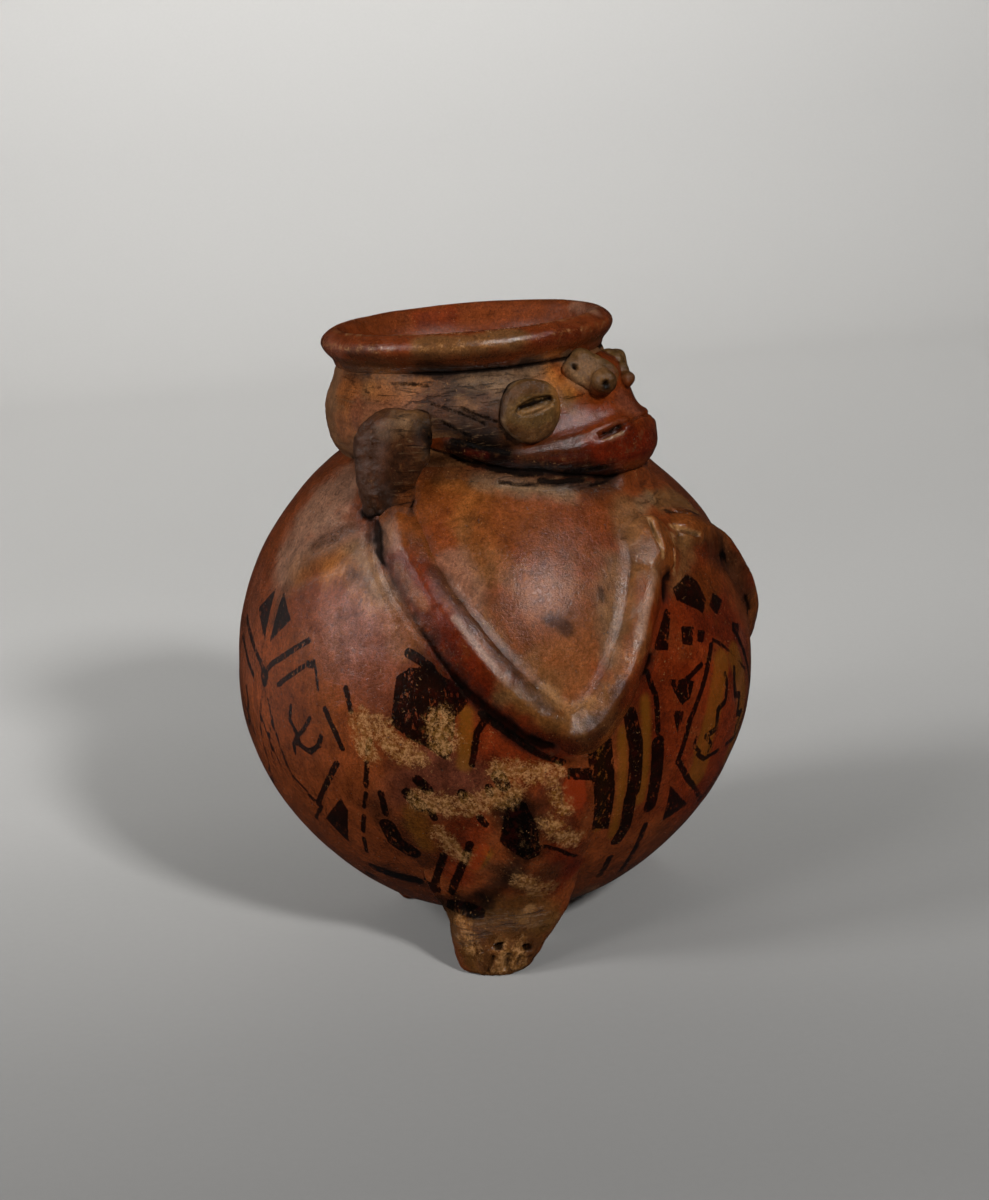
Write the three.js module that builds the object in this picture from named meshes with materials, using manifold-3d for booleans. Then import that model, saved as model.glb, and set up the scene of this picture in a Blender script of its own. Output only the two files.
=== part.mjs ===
// A tripod jar of fired clay: a round body on three feet, a neck with a face on it,
// and arms, legs, eyes, nose and shoulder lugs that were shaped apart and luted on.
// Millimetres, +Z up. The figure faces -Y and its right side is -X. Azimuths are in degrees
// from the front towards the figure's right, latitudes in degrees from the body's equator.
import * as THREE from 'three';
import { mergeVertices } from 'three/addons/utils/BufferGeometryUtils.js';
import Module from 'manifold-3d';

const wasm = await Module();
wasm.setup();

// Fit and cutting
const clearance = 0.3;
const cutOverrun = 20;

// Body
const bodyRadius = 62;
const bodyFloorGap = 4.1;
const bodyWall = 5;
const bodyRows = 24;
const bodyColumns = 54;
const innerRows = 12;
const innerColumns = 28;
const bottomShare = 0.927;
const shoulderShare = 1.024;
const bodyOutlineShares = [
  [-90, bottomShare], [-65, 0.955], [-45, 0.958], [-25, 0.973], [-5, 0.995],
  [15, 0.999], [32, 1.0], [46, 1.004], [60, shoulderShare], [90, 1.04],
];
const bodyCentreHeight = bodyRadius * bottomShare + bodyFloorGap;
// Soft swells: inside each bent arm, and on the back of the shoulder
const bellySwell = 2.4;
const bellySwellPlace = { azimuth: 50, latitude: 27, spread: 15 };
const shoulderSwell = 1.3;
const shoulderSwellPlace = { azimuth: 152, latitude: 43, spread: 27 };

// Neck and rim
const neckBulgeRadius = 34.6;
const neckHeight = 20.5;
const neckWall = 8.1;
const mouthRadius = neckBulgeRadius - neckWall;
const neckColumns = 40;
const neckFootShare = 0.919;
const neckOutlineShares = [
  [neckFootShare, 0], [0.924, 0.04], [0.962, 0.13], [0.986, 0.24], [1, 0.49],
  [0.993, 0.62], [0.966, 0.75], [0.926, 0.88], [0.89, 1],
];
const neckFootRadius = neckBulgeRadius * neckFootShare;
const neckSeatRise = Math.sqrt((bodyRadius * shoulderShare) ** 2 - neckFootRadius ** 2);
const neckSeatHeight = bodyCentreHeight + neckSeatRise;
const neckHollowShares = [[0, 1], [0.03, 0.7], [0.2, 0.45], [0.14, 0.2], [0, 0]];
const rimProud = 3.5;
const rimRadius = neckBulgeRadius * neckOutlineShares.at(-1)[0] + rimProud;
const rimHeight = 8.8;
// Each point: reach as a share from the mouth to the rim's edge, height as a share
const rimOutlineShares = [
  [0.561, 0], [0.693, 0.22], [0.891, 0.42], [1.001, 0.62], [0.957, 0.78], [0.803, 0.91],
  [0.605, 1], [0.437, 0.98], [0.288, 0.82], [0.129, 0.42], [0, 0],
];

// Muzzle: a snout with a heavy chin, whose jaw tapers back round the neck.
// Each rise here and below is a height over the neck's seat.
const muzzleProud = 11.3;
const muzzleReach = neckBulgeRadius + muzzleProud;
const muzzleJawProud = 1.3;
const muzzleRootOver = 1.2;
const muzzleRootRise = neckHeight + muzzleRootOver;
const muzzleChinRise = -6.9;
const muzzleTailRise = 6.1;
const muzzleTailDepth = 4.6;
const muzzleTailAzimuth = 80;
const muzzleTailSink = 1.6;
const muzzleRows = 24;
// Each point: reach as a share of muzzleProud, from the neck's bulge, height as a share from chin to root,
// how many degrees it fades over, place on the tail from bottom 0 to top 1, and 1 if it is on the jaw
const muzzlePointShares = [
  [-0.54, 0.1, 34, 0.5, 0], [0.31, 0, 34, 0.1, 0], [0.53, 0.015, 34, 0, 0], [0.78, 0.08, 34, 0.05, 1],
  [0.94, 0.16, 34, 0.2, 1], [0.98, 0.25, 34, 0.45, 1], [0.92, 0.35, 34, 0.7, 1], [0.79, 0.43, 33, 0.85, 1],
  [0.65, 0.49, 27, 0.95, 0], [0.57, 0.58, 23, 1, 0], [0.53, 0.7, 22, 1, 0], [0.45, 0.83, 23, 1, 0],
  [0.33, 0.94, 24, 1, 0], [0.03, 1, 24, 1, 0], [-0.62, 0.8, 24, 0.9, 0], [-0.75, 0.45, 34, 0.7, 0],
];
const mouthSlitRise = 6.7;
const mouthSlitHalf = 8.6;
const mouthSlitTall = 1.5;
const mouthSlitDeep = 3.2;
const mouthSlitDroop = 1.5;
const mouthSlitSteps = 14;
const mouthSlitSides = 8;

// Eyes
const eyeRadius = 7.2;
const eyeProud = 2.7;
const eyeAzimuth = 41.5;
const eyeRise = 11.9;
const eyeTilt = 6;
const eyeSlitHalf = 4.9;
const eyeSlitTall = 2.2;
const eyeSlitDeep = 1.5;
const eyeColumns = 20;
const eyeProfileShares = [[0.9, 0], [0.985, 0.3], [1, 0.55], [0.93, 0.82], [0.76, 0.96], [0.45, 1]];

// Nose: two short rolls with a nostril pushed into the end of each, the figure's right one the larger
const noseRadius = 3.9;
const noseRootProud = 2.2;
const noseRootDrop = 1.1;
const noseRootRise = neckHeight - noseRootDrop;
const noseTipProud = 5.8;
const noseTipDrop = 4.3;
const noseTipRise = neckHeight - noseTipDrop;
const noseAzimuths = { right: { root: 21, tip: 13 }, left: { root: -11, tip: -2 } };
// The left roll against the right: radius, reach of root and tip past the bulge, rise of root and tip
const noseLeftShares = [0.744, 0, 0.69, 0.99, 0.889];
const nostrilRadius = 1.5;
const nostrilDepth = 3;

// Lugs: a loop on each shoulder from the neck down to the top of the arm
const lugAzimuth = 88;
const lugLean = 7;
const lugReachShare = 0.7113;
const lugReach = bodyRadius * lugReachShare;
const lugThickness = 5;
const lugRows = 20;
const lugColumns = 14;
const lugWidth = 18;
const lugTopRise = 14.5;
const lugFootSink = 1.13;
const lugFootRise = Math.sqrt(bodyRadius ** 2 - lugReach ** 2) - neckSeatRise - lugFootSink;
// Each station: reach as a share from the neck's bulge to lugReach, height as a share from foot to top,
// width and thickness as shares
const lugStationShares = [
  [-0.23, 0.86, 0.5, 0.7], [0.095, 0.9, 0.68, 1], [0.42, 0.84, 0.86, 1.1], [0.666, 0.7, 1, 1.08],
  [0.721, 0.54, 0.96, 1], [0.721, 0.36, 0.72, 0.95], [0.768, 0.16, 0.5, 0.85], [0.93, 0, 0.36, 0.6],
];

// Arms: each lies on the body from the lug to the elbow and back up to the hand under the chin
const armHalfWidth = 5.8;
const armProud = 3.9;
const armSink = 2.5;
const armColumns = 12;
const armRows = 20;
// Each station: azimuth, latitude, half width as a share, proud height as a share
const upperArmShares = [
  [88.5, 44.5, 0.7, 0.6], [83.8, 39.5, 0.98, 0.88], [76.8, 31.5, 1.02, 0.95], [70.5, 23.4, 1, 0.95],
  [64.8, 16, 0.98, 0.92], [58.9, 9.2, 0.95, 0.9], [52.4, 3, 0.93, 0.9], [44.8, -1, 0.8, 0.85],
];
const foreArmShares = [
  [49.4, 0, 0.75, 0.8], [43.6, -0.7, 0.86, 0.88], [38.9, 2, 0.8, 0.95], [34.4, 7.2, 0.74, 1],
  [30.2, 13, 0.72, 1.02], [26.4, 19, 0.72, 1.02], [21.9, 25.4, 0.76, 0.95], [17.5, 30.4, 0.8, 0.85],
];
const rightHandShares = [
  [20.5, 27.4, 0.62, 0.7], [17.2, 30.6, 0.98, 0.92], [14.2, 33.6, 1.12, 1], [11.6, 36.6, 1.02, 0.92],
  [9.8, 39.4, 0.7, 0.7],
];
const leftHandShares = [
  [20.5, 27.4, 0.62, 0.7], [15.2, 29.6, 0.95, 0.9], [9.0, 31.8, 1.1, 1], [3.0, 33.8, 1.05, 0.95],
  [-2.6, 35.8, 0.72, 0.7],
];
const fingerGrooveHalf = 0.55;
const fingerGrooveFloor = 1.5;
const fingerSpreadShares = [-0.52, 0, 0.52];

// Legs and feet
const footRightAzimuth = 68.5;
const footLeftAzimuth = 76;
const thighAzimuth = 49;
const rearAzimuth = 180;
const rearFootInset = 10.3;
const legHalfWidth = 13.4;
const legTopShare = 0.909;
const footReachShare = 0.779;
const legTopHeight = bodyCentreHeight * legTopShare;
const footReach = bodyRadius * footReachShare;
// Each station: height as a share of legTopHeight, below zero under the floor, then outer and inner
// reach as shares of footReach, and half width as a share
const legStationShares = [
  [-0.05, 0.84, 0.84, 0], [-0.02, 0.92, 0.77, 0.42], [0.012, 0.955, 0.745, 0.56],
  [0.045, 0.975, 0.72, 0.67], [0.1, 0.985, 0.69, 0.79], [0.17, 0.992, 0.67, 0.92], [0.25, 1.01, 0.66, 1.03],
  [0.34, 1.05, 0.68, 1.06], [0.45, 1.11, 0.74, 1.04], [0.58, 1.17, 0.86, 0.99], [0.7, 1.227, 0.98, 0.92],
  [0.82, 1.268, 1.07, 0.78], [0.92, 1.288, 1.15, 0.55], [1, 1.272, 1.272, 0],
];
const legColumns = 18;
const toeHoleRadius = 1.1;
const toeHoleDepth = 3.5;
const toeHoleHeight = 7;
const toeHoleSpacing = 6.8;
const toeTurn = 9;
const toeGrooveHalf = 0.55;

const fullTurn = 360;
const quarterTurn = 90;
const degree = 2 * Math.PI / fullTurn;

// A point at an azimuth, a distance from the axis and a height
function onAxis(azimuth, reach, height) {
  const angle = azimuth * degree;
  return new THREE.Vector3(-reach * Math.sin(angle), -reach * Math.cos(angle), height);
}

// Reads a table of [place, value, ...] rows, with a smooth run between them
function smoothAt(table, place, column = 1) {
  const last = table.length - 1;
  const found = table.findIndex((row) => row[0] >= place);
  const at = found < 0 ? last : Math.max(found, 1);
  const rows = [at - 2, at - 1, at, at + 1].map((i) => table[Math.min(Math.max(i, 0), last)]);
  const share = THREE.MathUtils.clamp((place - rows[1][0]) / (rows[2][0] - rows[1][0]), 0, 1);
  const slope = (from, to) => (to[column] - from[column]) / Math.max(to[0] - from[0], Number.EPSILON);
  const run = rows[2][0] - rows[1][0];
  const start = slope(rows[0], rows[2]) * run;
  const end = slope(rows[1], rows[3]) * run;
  const square = share * share;
  const cube = square * share;
  return rows[1][column] * (2 * cube - 3 * square + 1) + start * (cube - 2 * square + share)
    + rows[2][column] * (3 * square - 2 * cube) + end * (cube - square);
}

// How much of a soft swell is felt at a place on the body
function swellShare(azimuth, latitude, swell) {
  const turn = THREE.MathUtils.euclideanModulo(azimuth - swell.azimuth + fullTurn / 2, fullTurn) - fullTurn / 2;
  const away = Math.hypot(turn * Math.cos(latitude * degree), latitude - swell.latitude) / swell.spread;
  return Math.exp(-away * away);
}

// Distance from the body's centre to its outside
function bodyReach(azimuth, latitude) {
  const onOtherSide = { ...bellySwellPlace, azimuth: -bellySwellPlace.azimuth };
  const belly = swellShare(azimuth, latitude, bellySwellPlace) + swellShare(azimuth, latitude, onOtherSide);
  return bodyRadius * smoothAt(bodyOutlineShares, latitude) + bellySwell * belly
    + shoulderSwell * swellShare(azimuth, latitude, shoulderSwellPlace);
}

// A point over the body's surface
function onBody(azimuth, latitude, lift = 0) {
  const reach = bodyReach(azimuth, latitude) + lift;
  const up = latitude * degree;
  return onAxis(azimuth, reach * Math.cos(up), bodyCentreHeight + reach * Math.sin(up));
}

// The direction from the body's centre, and back to azimuth and latitude
function direction(azimuth, latitude) {
  const up = latitude * degree;
  return onAxis(azimuth, Math.cos(up), Math.sin(up));
}

function place(aim) {
  const latitude = Math.asin(THREE.MathUtils.clamp(aim.z / aim.length(), -1, 1)) / degree;
  return [Math.atan2(-aim.x, -aim.y) / degree, latitude];
}

// A closed skin: rows run from end to end, columns go once round, and each end meets in a point
function skin(rows, columns, pointAt) {
  const positions = [];
  const corners = [];
  for (let row = 0; row <= rows; row++) {
    for (let column = 0; column < columns; column++) {
      positions.push(...pointAt(row / rows, column / columns).toArray());
    }
  }
  for (let row = 0; row < rows; row++) {
    for (let column = 0; column < columns; column++) {
      const next = (column + 1) % columns;
      const a = row * columns + column;
      const b = row * columns + next;
      corners.push(a, b, b + columns, a, b + columns, a + columns);
    }
  }
  const geometry = new THREE.BufferGeometry();
  geometry.setAttribute('position', new THREE.Float32BufferAttribute(positions, 3));
  geometry.setIndex(corners);
  return geometry;
}

// A closed outline of [reach, height] points turned round the axis
function turned(points, columns) {
  const outline = [...points, points[0]].map(([reach, height]) => new THREE.Vector2(reach, height));
  const geometry = new THREE.LatheGeometry(outline, columns);
  geometry.rotateX(Math.PI / 2);
  return geometry;
}

// Six times the volume inside the triangles, below zero where they face inwards
function signedVolume(points, corners) {
  const [a, b, c] = [new THREE.Vector3(), new THREE.Vector3(), new THREE.Vector3()];
  let sum = 0;
  for (let i = 0; i < corners.length; i += 3) {
    a.fromArray(points, corners[i] * 3);
    b.fromArray(points, corners[i + 1] * 3);
    c.fromArray(points, corners[i + 2] * 3);
    sum += a.dot(b.cross(c));
  }
  return sum;
}

// A geometry as a solid that can be joined and cut, facing outwards
function solid(geometry) {
  geometry.deleteAttribute('normal');
  geometry.deleteAttribute('uv');
  const merged = mergeVertices(geometry);
  const points = merged.attributes.position.array;
  const kept = [];
  for (let i = 0; i < merged.index.count; i += 3) {
    const [a, b, c] = merged.index.array.slice(i, i + 3);
    if (a !== b && b !== c && c !== a) kept.push(a, b, c);
  }
  if (signedVolume(points, kept) < 0) kept.reverse();
  return new wasm.Manifold(new wasm.Mesh({
    numProp: 3, vertProperties: new Float32Array(points), triVerts: new Uint32Array(kept),
  }));
}

// The largest body of a solid, without the slivers that a cut leaves
function largest(shape) {
  return shape.decompose().reduce((best, piece) => (piece.volume() > best.volume() ? piece : best));
}

function cut(shape, ...cutters) {
  return largest(cutters.reduce((rest, cutter) => rest.subtract(cutter), shape));
}

function box(width, depth, height, centre) {
  const geometry = new THREE.BoxGeometry(width, depth, height);
  geometry.translate(centre.x, centre.y, centre.z);
  return solid(geometry);
}

// Everything under the floor
const wide = (bodyRadius + cutOverrun) * 2;
const ground = box(wide, wide, cutOverrun, new THREE.Vector3(0, 0, -cutOverrun / 2));

// Body: a globe with the mouth cut through its top, and a flat seat for the neck
function globe(rows, columns, grow) {
  return solid(skin(rows, columns, (up, round) => onBody(fullTurn * round, fullTurn / 2 * up - quarterTurn, grow)));
}

const seatTop = box(wide, wide, bodyRadius, new THREE.Vector3(0, 0, neckSeatHeight + bodyRadius / 2));
const mouthBore = solid(turned([
  [0, bodyCentreHeight], [mouthRadius, bodyCentreHeight],
  [mouthRadius, neckSeatHeight + cutOverrun], [0, neckSeatHeight + cutOverrun],
], neckColumns));
const bodyShell = cut(globe(bodyRows, bodyColumns, 0), globe(innerRows, innerColumns, -bodyWall),
  seatTop, mouthBore);
const bodyRoom = globe(bodyRows, bodyColumns, clearance);

// Neck: a bulging drum that stands on the body's seat
function neckOutline(grow) {
  const foot = neckSeatHeight + clearance;
  const outside = neckOutlineShares.map(([reach, up]) => [
    neckBulgeRadius * reach + grow, foot + neckHeight * up]);
  return { foot, outside, top: foot + neckHeight };
}

const neck = neckOutline(0);
const neckHollow = neckHollowShares.map(([reach, up]) => [
  mouthRadius + (neckBulgeRadius - mouthRadius) * reach, neck.foot + neckHeight * up]);
const neckCollar = solid(turned([...neck.outside, ...neckHollow], neckColumns));
const neckRoom = solid(turned([
  [0, neck.foot - bodyWall], [neckOutline(clearance).outside[0][0], neck.foot - bodyWall],
  ...neckOutline(clearance).outside, [0, neck.top],
], neckColumns));

// Rim: an everted lip that stands on the neck
const rimFoot = neck.top + clearance;
const rimPoints = (grow) => rimOutlineShares.map(([reach, up]) => [
  THREE.MathUtils.lerp(mouthRadius, rimRadius, reach) + grow, rimFoot + rimHeight * up]);
const rimLip = solid(turned(rimPoints(0), neckColumns));
const rimRoom = solid(turned([
  [0, rimFoot - clearance], [rimPoints(clearance)[0][0], rimFoot - clearance],
  ...rimPoints(clearance).slice(0, 7), [0, rimFoot + rimHeight],
], neckColumns));

// How far a neck point lies from the axis at a height
function neckReach(height) {
  return smoothAt(neck.outside.map(([reach, up]) => [up, reach]), height);
}

// Muzzle
const muzzleTailHeight = neckSeatHeight + muzzleTailRise;

function muzzleSection(azimuth) {
  const along = Math.abs(azimuth) / muzzleTailAzimuth;
  const size = Math.sqrt(Math.max(1 - along ** 8, 0));
  const tailMiddle = onAxis(azimuth, neckReach(muzzleTailHeight), muzzleTailHeight);
  return muzzlePointShares.map(([reach, up, fade, tail, jaw]) => {
    const tailUp = muzzleTailHeight + muzzleTailDepth * (tail - jaw / 2 - (1 - jaw) / 2);
    const middleUp = neckSeatHeight + THREE.MathUtils.lerp(muzzleChinRise, muzzleRootRise, up);
    const height = THREE.MathUtils.lerp(middleUp, tailUp, Math.min(along * 1.05, 1) ** 1.15);
    const tailReach = neckReach(height) + (jaw ? muzzleJawProud : -muzzleTailSink);
    const fading = Math.exp(-((azimuth / fade) ** 2));
    const middleReach = neckBulgeRadius + muzzleProud * reach;
    const point = onAxis(azimuth, tailReach + (middleReach - tailReach) * fading, height);
    return tailMiddle.clone().lerp(point, size);
  });
}

function muzzleGeometry() {
  const columns = muzzlePointShares.length;
  return skin(muzzleRows, columns, (along, round) => {
    const azimuth = THREE.MathUtils.lerp(-muzzleTailAzimuth, muzzleTailAzimuth, along);
    return muzzleSection(azimuth)[Math.round(round * columns) % columns];
  });
}

// The mouth: a slit that droops at its corners
function mouthCut() {
  return solid(skin(mouthSlitSteps, mouthSlitSides, (along, round) => {
    const side = 2 * along - 1;
    const open = Math.sqrt(Math.max(1 - side * side, 0)) * mouthSlitTall / 2;
    const angle = 2 * Math.PI * round;
    const azimuth = side * mouthSlitHalf / muzzleReach / degree * 2;
    const reach = muzzleReach + mouthSlitDeep * Math.cos(angle) * 2 - mouthSlitDeep - Math.abs(side) ** 2 * 3;
    return onAxis(azimuth, open ? reach : muzzleReach, neckSeatHeight + mouthSlitRise
      - mouthSlitDroop * side * side + open * Math.sin(angle));
  }));
}

const muzzle = cut(solid(muzzleGeometry()), neckRoom, rimRoom, bodyRoom, mouthCut());
const muzzleRoom = solid(muzzleGeometry());

// Eyes: thick buttons with a slit across
function eye(side) {
  const button = turned([...eyeProfileShares.map(([reach, up]) => [eyeRadius * reach, eyeProud * up]),
    [0, eyeProud], [0, -eyeProud], [eyeRadius * eyeProfileShares[0][0], -eyeProud]], eyeColumns);
  const slit = new THREE.SphereGeometry(1, 14, 8);
  slit.scale(eyeSlitHalf, eyeSlitTall / 2, eyeSlitDeep);
  slit.translate(0, 0, eyeProud);
  const eyeHeight = neckSeatHeight + eyeRise;
  const seat = onAxis(eyeAzimuth * side, neckReach(eyeHeight), eyeHeight);
  const turn = new THREE.Matrix4().makeBasis(
    onAxis((eyeAzimuth + quarterTurn) * side, side, 0), new THREE.Vector3(0, 0, 1), onAxis(eyeAzimuth * side, 1, 0));
  turn.multiply(new THREE.Matrix4().makeRotationZ(-eyeTilt * side * degree)).setPosition(seat);
  return cut(solid(button.applyMatrix4(turn)), solid(slit.applyMatrix4(turn)), neckRoom, muzzleRoom);
}

// Nose rolls, from beside the rim down to a nostril
function noseRoll(azimuths, [thick, rootOut, tipOut, rootUp, tipUp]) {
  const radius = noseRadius * thick;
  const root = onAxis(azimuths.root, neckBulgeRadius + noseRootProud * rootOut, neckSeatHeight + noseRootRise * rootUp);
  const tip = onAxis(azimuths.tip, neckBulgeRadius + noseTipProud * tipOut, neckSeatHeight + noseTipRise * tipUp);
  const run = tip.clone().sub(root);
  const aim = new THREE.Quaternion().setFromUnitVectors(new THREE.Vector3(0, 1, 0), run.clone().normalize());
  const roll = new THREE.CapsuleGeometry(radius, run.length(), 5, 14);
  roll.applyQuaternion(aim);
  roll.translate(...root.clone().add(tip).multiplyScalar(1 / 2).toArray());
  const pit = new THREE.CapsuleGeometry(nostrilRadius, nostrilDepth, 4, 10);
  pit.applyQuaternion(aim);
  const pitPlace = tip.clone().add(run.clone().setLength(radius));
  pit.translate(pitPlace.x, pitPlace.y, pitPlace.z - nostrilRadius / 2);
  return cut(solid(roll), solid(pit), neckRoom, rimRoom, muzzleRoom);
}

// A value between the stations of a table, at a place from 0 to 1 along it
function shareAlong(stations, along, column) {
  const last = stations.length - 1;
  const low = Math.min(Math.floor(along * last), last - 1);
  return THREE.MathUtils.lerp(stations[low][column], stations[low + 1][column], along * last - low);
}

// Full along the middle of a run and closing to nothing in a round end
function roundEnd(along, sharpness) {
  return Math.sqrt(Math.max(1 - (2 * along - 1) ** sharpness, 0));
}

// Lugs
function lug(side, grow = 0) {
  const line = new THREE.CatmullRomCurve3(lugStationShares.map(([reach, up]) => new THREE.Vector3(
    THREE.MathUtils.lerp(neckBulgeRadius, lugReach, reach), 0,
    neckSeatHeight + THREE.MathUtils.lerp(lugFootRise, lugTopRise, up))));
  return solid(skin(lugRows, lugColumns, (along, round) => {
    const centre = line.getPoint(along);
    const tangent = line.getTangent(along);
    const end = roundEnd(along, 10);
    const angle = 2 * Math.PI * round;
    const across = (lugWidth / 2 * shareAlong(lugStationShares, along, 2) + grow) * end * Math.cos(angle);
    const outward = (lugThickness / 2 * shareAlong(lugStationShares, along, 3) + grow) * end * Math.sin(angle);
    const turn = (lugAzimuth + lugLean * (along - 1 / 2)) * side;
    const middle = onAxis(turn, centre.x + tangent.z * outward, centre.z - tangent.x * outward);
    return middle.add(onAxis(turn + quarterTurn, across, 0));
  }));
}

// A rounded band that lies on the body along stations of azimuth, latitude and shares of its size
function band(stations, side, { halfWidth, top, floor, base = 0, rows, columns, swing = 0 }) {
  const line = new THREE.CatmullRomCurve3(
    stations.map(([azimuth, latitude]) => direction(azimuth * side, latitude)));
  return solid(skin(rows, columns, (along, round) => {
    const aim = line.getPoint(along).normalize();
    const across = new THREE.Vector3().crossVectors(aim, line.getTangent(along)).normalize();
    const end = roundEnd(along, 12);
    const angle = 2 * Math.PI * round;
    const rise = Math.sin(angle) * end;
    const lift = base + rise * (rise > 0 ? top * shareAlong(stations, along, 3) : floor);
    const turn = (swing + halfWidth * shareAlong(stations, along, 2) * end * Math.cos(angle)) / bodyRadius;
    const spot = aim.multiplyScalar(Math.cos(turn)).addScaledVector(across, Math.sin(turn));
    return onBody(...place(spot), lift);
  }));
}

// Arms: upper arm, forearm and hand in one, with the fingers parted by grooves
function limb(side, handShares, grow) {
  const size = { halfWidth: armHalfWidth + grow, top: armProud + grow, floor: armSink, columns: armColumns };
  return band(upperArmShares, side, { ...size, rows: armRows })
    .add(band(foreArmShares, side, { ...size, rows: armRows }))
    .add(band(handShares, side, { ...size, rows: armRows / 2 }));
}

function arm(side, handShares, ...neighbours) {
  const grooves = fingerSpreadShares.map((spread) => band(handShares.slice(2), side, {
    halfWidth: fingerGrooveHalf, base: fingerGrooveFloor + armProud, top: armProud, floor: armProud,
    swing: armHalfWidth * spread, rows: 6, columns: 6,
  }));
  return cut(limb(side, handShares, 0), bodyRoom, ...neighbours, ...grooves);
}

// Legs: a thigh that swells out of the body and narrows to a foot with three toes
function leg(side, azimuth, thigh, inset, toesTurned) {
  const section = (row) => {
    const moved = inset * (1 - Math.max(row[0], 0));
    const outer = footReach * row[1] - moved;
    const inner = footReach * row[2] - moved;
    return { outer, inner, half: legHalfWidth * row[3], height: legTopHeight * row[0] };
  };
  const last = legStationShares.length - 1;
  const skinOf = skin(last, legColumns, (along, round) => {
    const { outer, inner, half, height } = section(legStationShares[Math.round(along * last)]);
    const angle = 2 * Math.PI * round;
    const up = Math.max(height, 0) / legTopHeight;
    const turn = THREE.MathUtils.lerp(azimuth, thigh, Math.min(up / 0.75, 1)) * side;
    const middle = onAxis(turn, (outer + inner) / 2 + (outer - inner) / 2 * Math.sin(angle), height);
    return middle.add(onAxis(turn + quarterTurn, half * Math.cos(angle), 0));
  });
  const toes = [-1 / 2, 1 / 2].flatMap((place) => {
    const hole = new THREE.CapsuleGeometry(toeHoleRadius, toeHoleDepth * 2, 4, 10);
    const groove = new THREE.BoxGeometry(toeGrooveHalf * 2, toeGrooveHalf * 2, toeHoleHeight);
    groove.rotateZ(Math.PI / 4);
    groove.translate(0, 0, toeHoleHeight / 2);
    const spin = -(azimuth - toesTurned) * side * degree;
    const seat = toeHoleSpacing * place;
    hole.translate(seat, inset - footReach, toeHoleHeight);
    groove.translate(seat, inset - footReach, 0);
    return [solid(hole.rotateZ(spin)), solid(groove.rotateZ(spin))];
  });
  return cut(solid(skinOf), bodyRoom, ground, ...toes);
}

// Colours: burnished slip, worn clay and the dark grime of the modelled parts
const slip = { color: 0x8a3a20, roughness: 0.35, metalness: 0 };
const tones = {
  body_shell: slip,
  neck_collar: { color: 0x80452a, roughness: 0.5, metalness: 0 },
  rim_lip: { color: 0x8c2f1a, roughness: 0.3, metalness: 0 },
  muzzle: { color: 0x8a4a2a, roughness: 0.4, metalness: 0 },
  grimed: { color: 0x5a4028, roughness: 0.5, metalness: 0 },
  worn: { color: 0x96683f, roughness: 0.6, metalness: 0 },
};

const lugCuts = [neckRoom, bodyRoom, muzzleRoom];
const armRight = arm(1, rightHandShares, lug(1, clearance));
const armLeft = arm(-1, leftHandShares, lug(-1, clearance), limb(1, rightHandShares, clearance));

const vessel = new THREE.Group();

function add(name, shape, tone) {
  const { vertProperties, triVerts } = shape.getMesh();
  const geometry = new THREE.BufferGeometry();
  geometry.setAttribute('position', new THREE.Float32BufferAttribute(vertProperties, 3));
  geometry.setIndex(new THREE.Uint32BufferAttribute(triVerts, 1));
  geometry.computeVertexNormals();
  const piece = new THREE.Mesh(geometry, new THREE.MeshStandardMaterial(tone));
  piece.name = name;
  vessel.add(piece);
}

add('body_shell', bodyShell, tones.body_shell);
add('neck_collar', neckCollar, tones.neck_collar);
add('rim_lip', rimLip, tones.rim_lip);
add('muzzle', muzzle, tones.muzzle);
for (const [hand, side] of [['right', 1], ['left', -1]]) {
  add(`eye_${hand}`, eye(side), tones.grimed);
  add(`nose_${hand}`, noseRoll(noseAzimuths[hand], side > 0 ? [1, 1, 1, 1, 1] : noseLeftShares), tones.grimed);
  add(`lug_${hand}`, cut(lug(side), ...lugCuts), tones.grimed);
}
add('arm_right', armRight, slip);
add('arm_left', armLeft, slip);
add('leg_right', leg(1, footRightAzimuth, thighAzimuth, 0, toeTurn), tones.worn);
add('leg_left', leg(-1, footLeftAzimuth, thighAzimuth, 0, toeTurn), tones.worn);
add('leg_rear', leg(1, rearAzimuth, rearAzimuth, rearFootInset, 0), tones.worn);

// The origin goes to the middle of the footprint, at floor level
const bounds = new THREE.Box3().setFromObject(vessel);
vessel.position.set(-(bounds.min.x + bounds.max.x) / 2, -(bounds.min.y + bounds.max.y) / 2, -bounds.min.z);

export default vessel;
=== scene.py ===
import bpy
import numpy as np
from mathutils import Matrix, Vector
from mathutils.bvhtree import BVHTree


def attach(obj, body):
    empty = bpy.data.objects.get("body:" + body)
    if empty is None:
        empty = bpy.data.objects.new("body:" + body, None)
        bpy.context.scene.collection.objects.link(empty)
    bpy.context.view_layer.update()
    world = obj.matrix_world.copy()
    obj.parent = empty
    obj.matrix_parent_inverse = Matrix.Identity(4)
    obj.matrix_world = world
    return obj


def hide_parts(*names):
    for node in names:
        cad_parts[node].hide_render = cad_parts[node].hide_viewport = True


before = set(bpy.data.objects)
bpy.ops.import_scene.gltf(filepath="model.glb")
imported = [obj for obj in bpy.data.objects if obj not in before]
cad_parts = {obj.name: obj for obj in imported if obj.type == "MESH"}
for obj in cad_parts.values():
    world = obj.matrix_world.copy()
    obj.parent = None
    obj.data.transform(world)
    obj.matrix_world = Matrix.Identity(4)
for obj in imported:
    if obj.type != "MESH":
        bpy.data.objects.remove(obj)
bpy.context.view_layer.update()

METRES = 0.001
FULL_TURN = 360.0
HALF_TURN = 180.0
QUARTER_TURN = 90.0
TINY = 1e-9

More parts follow.
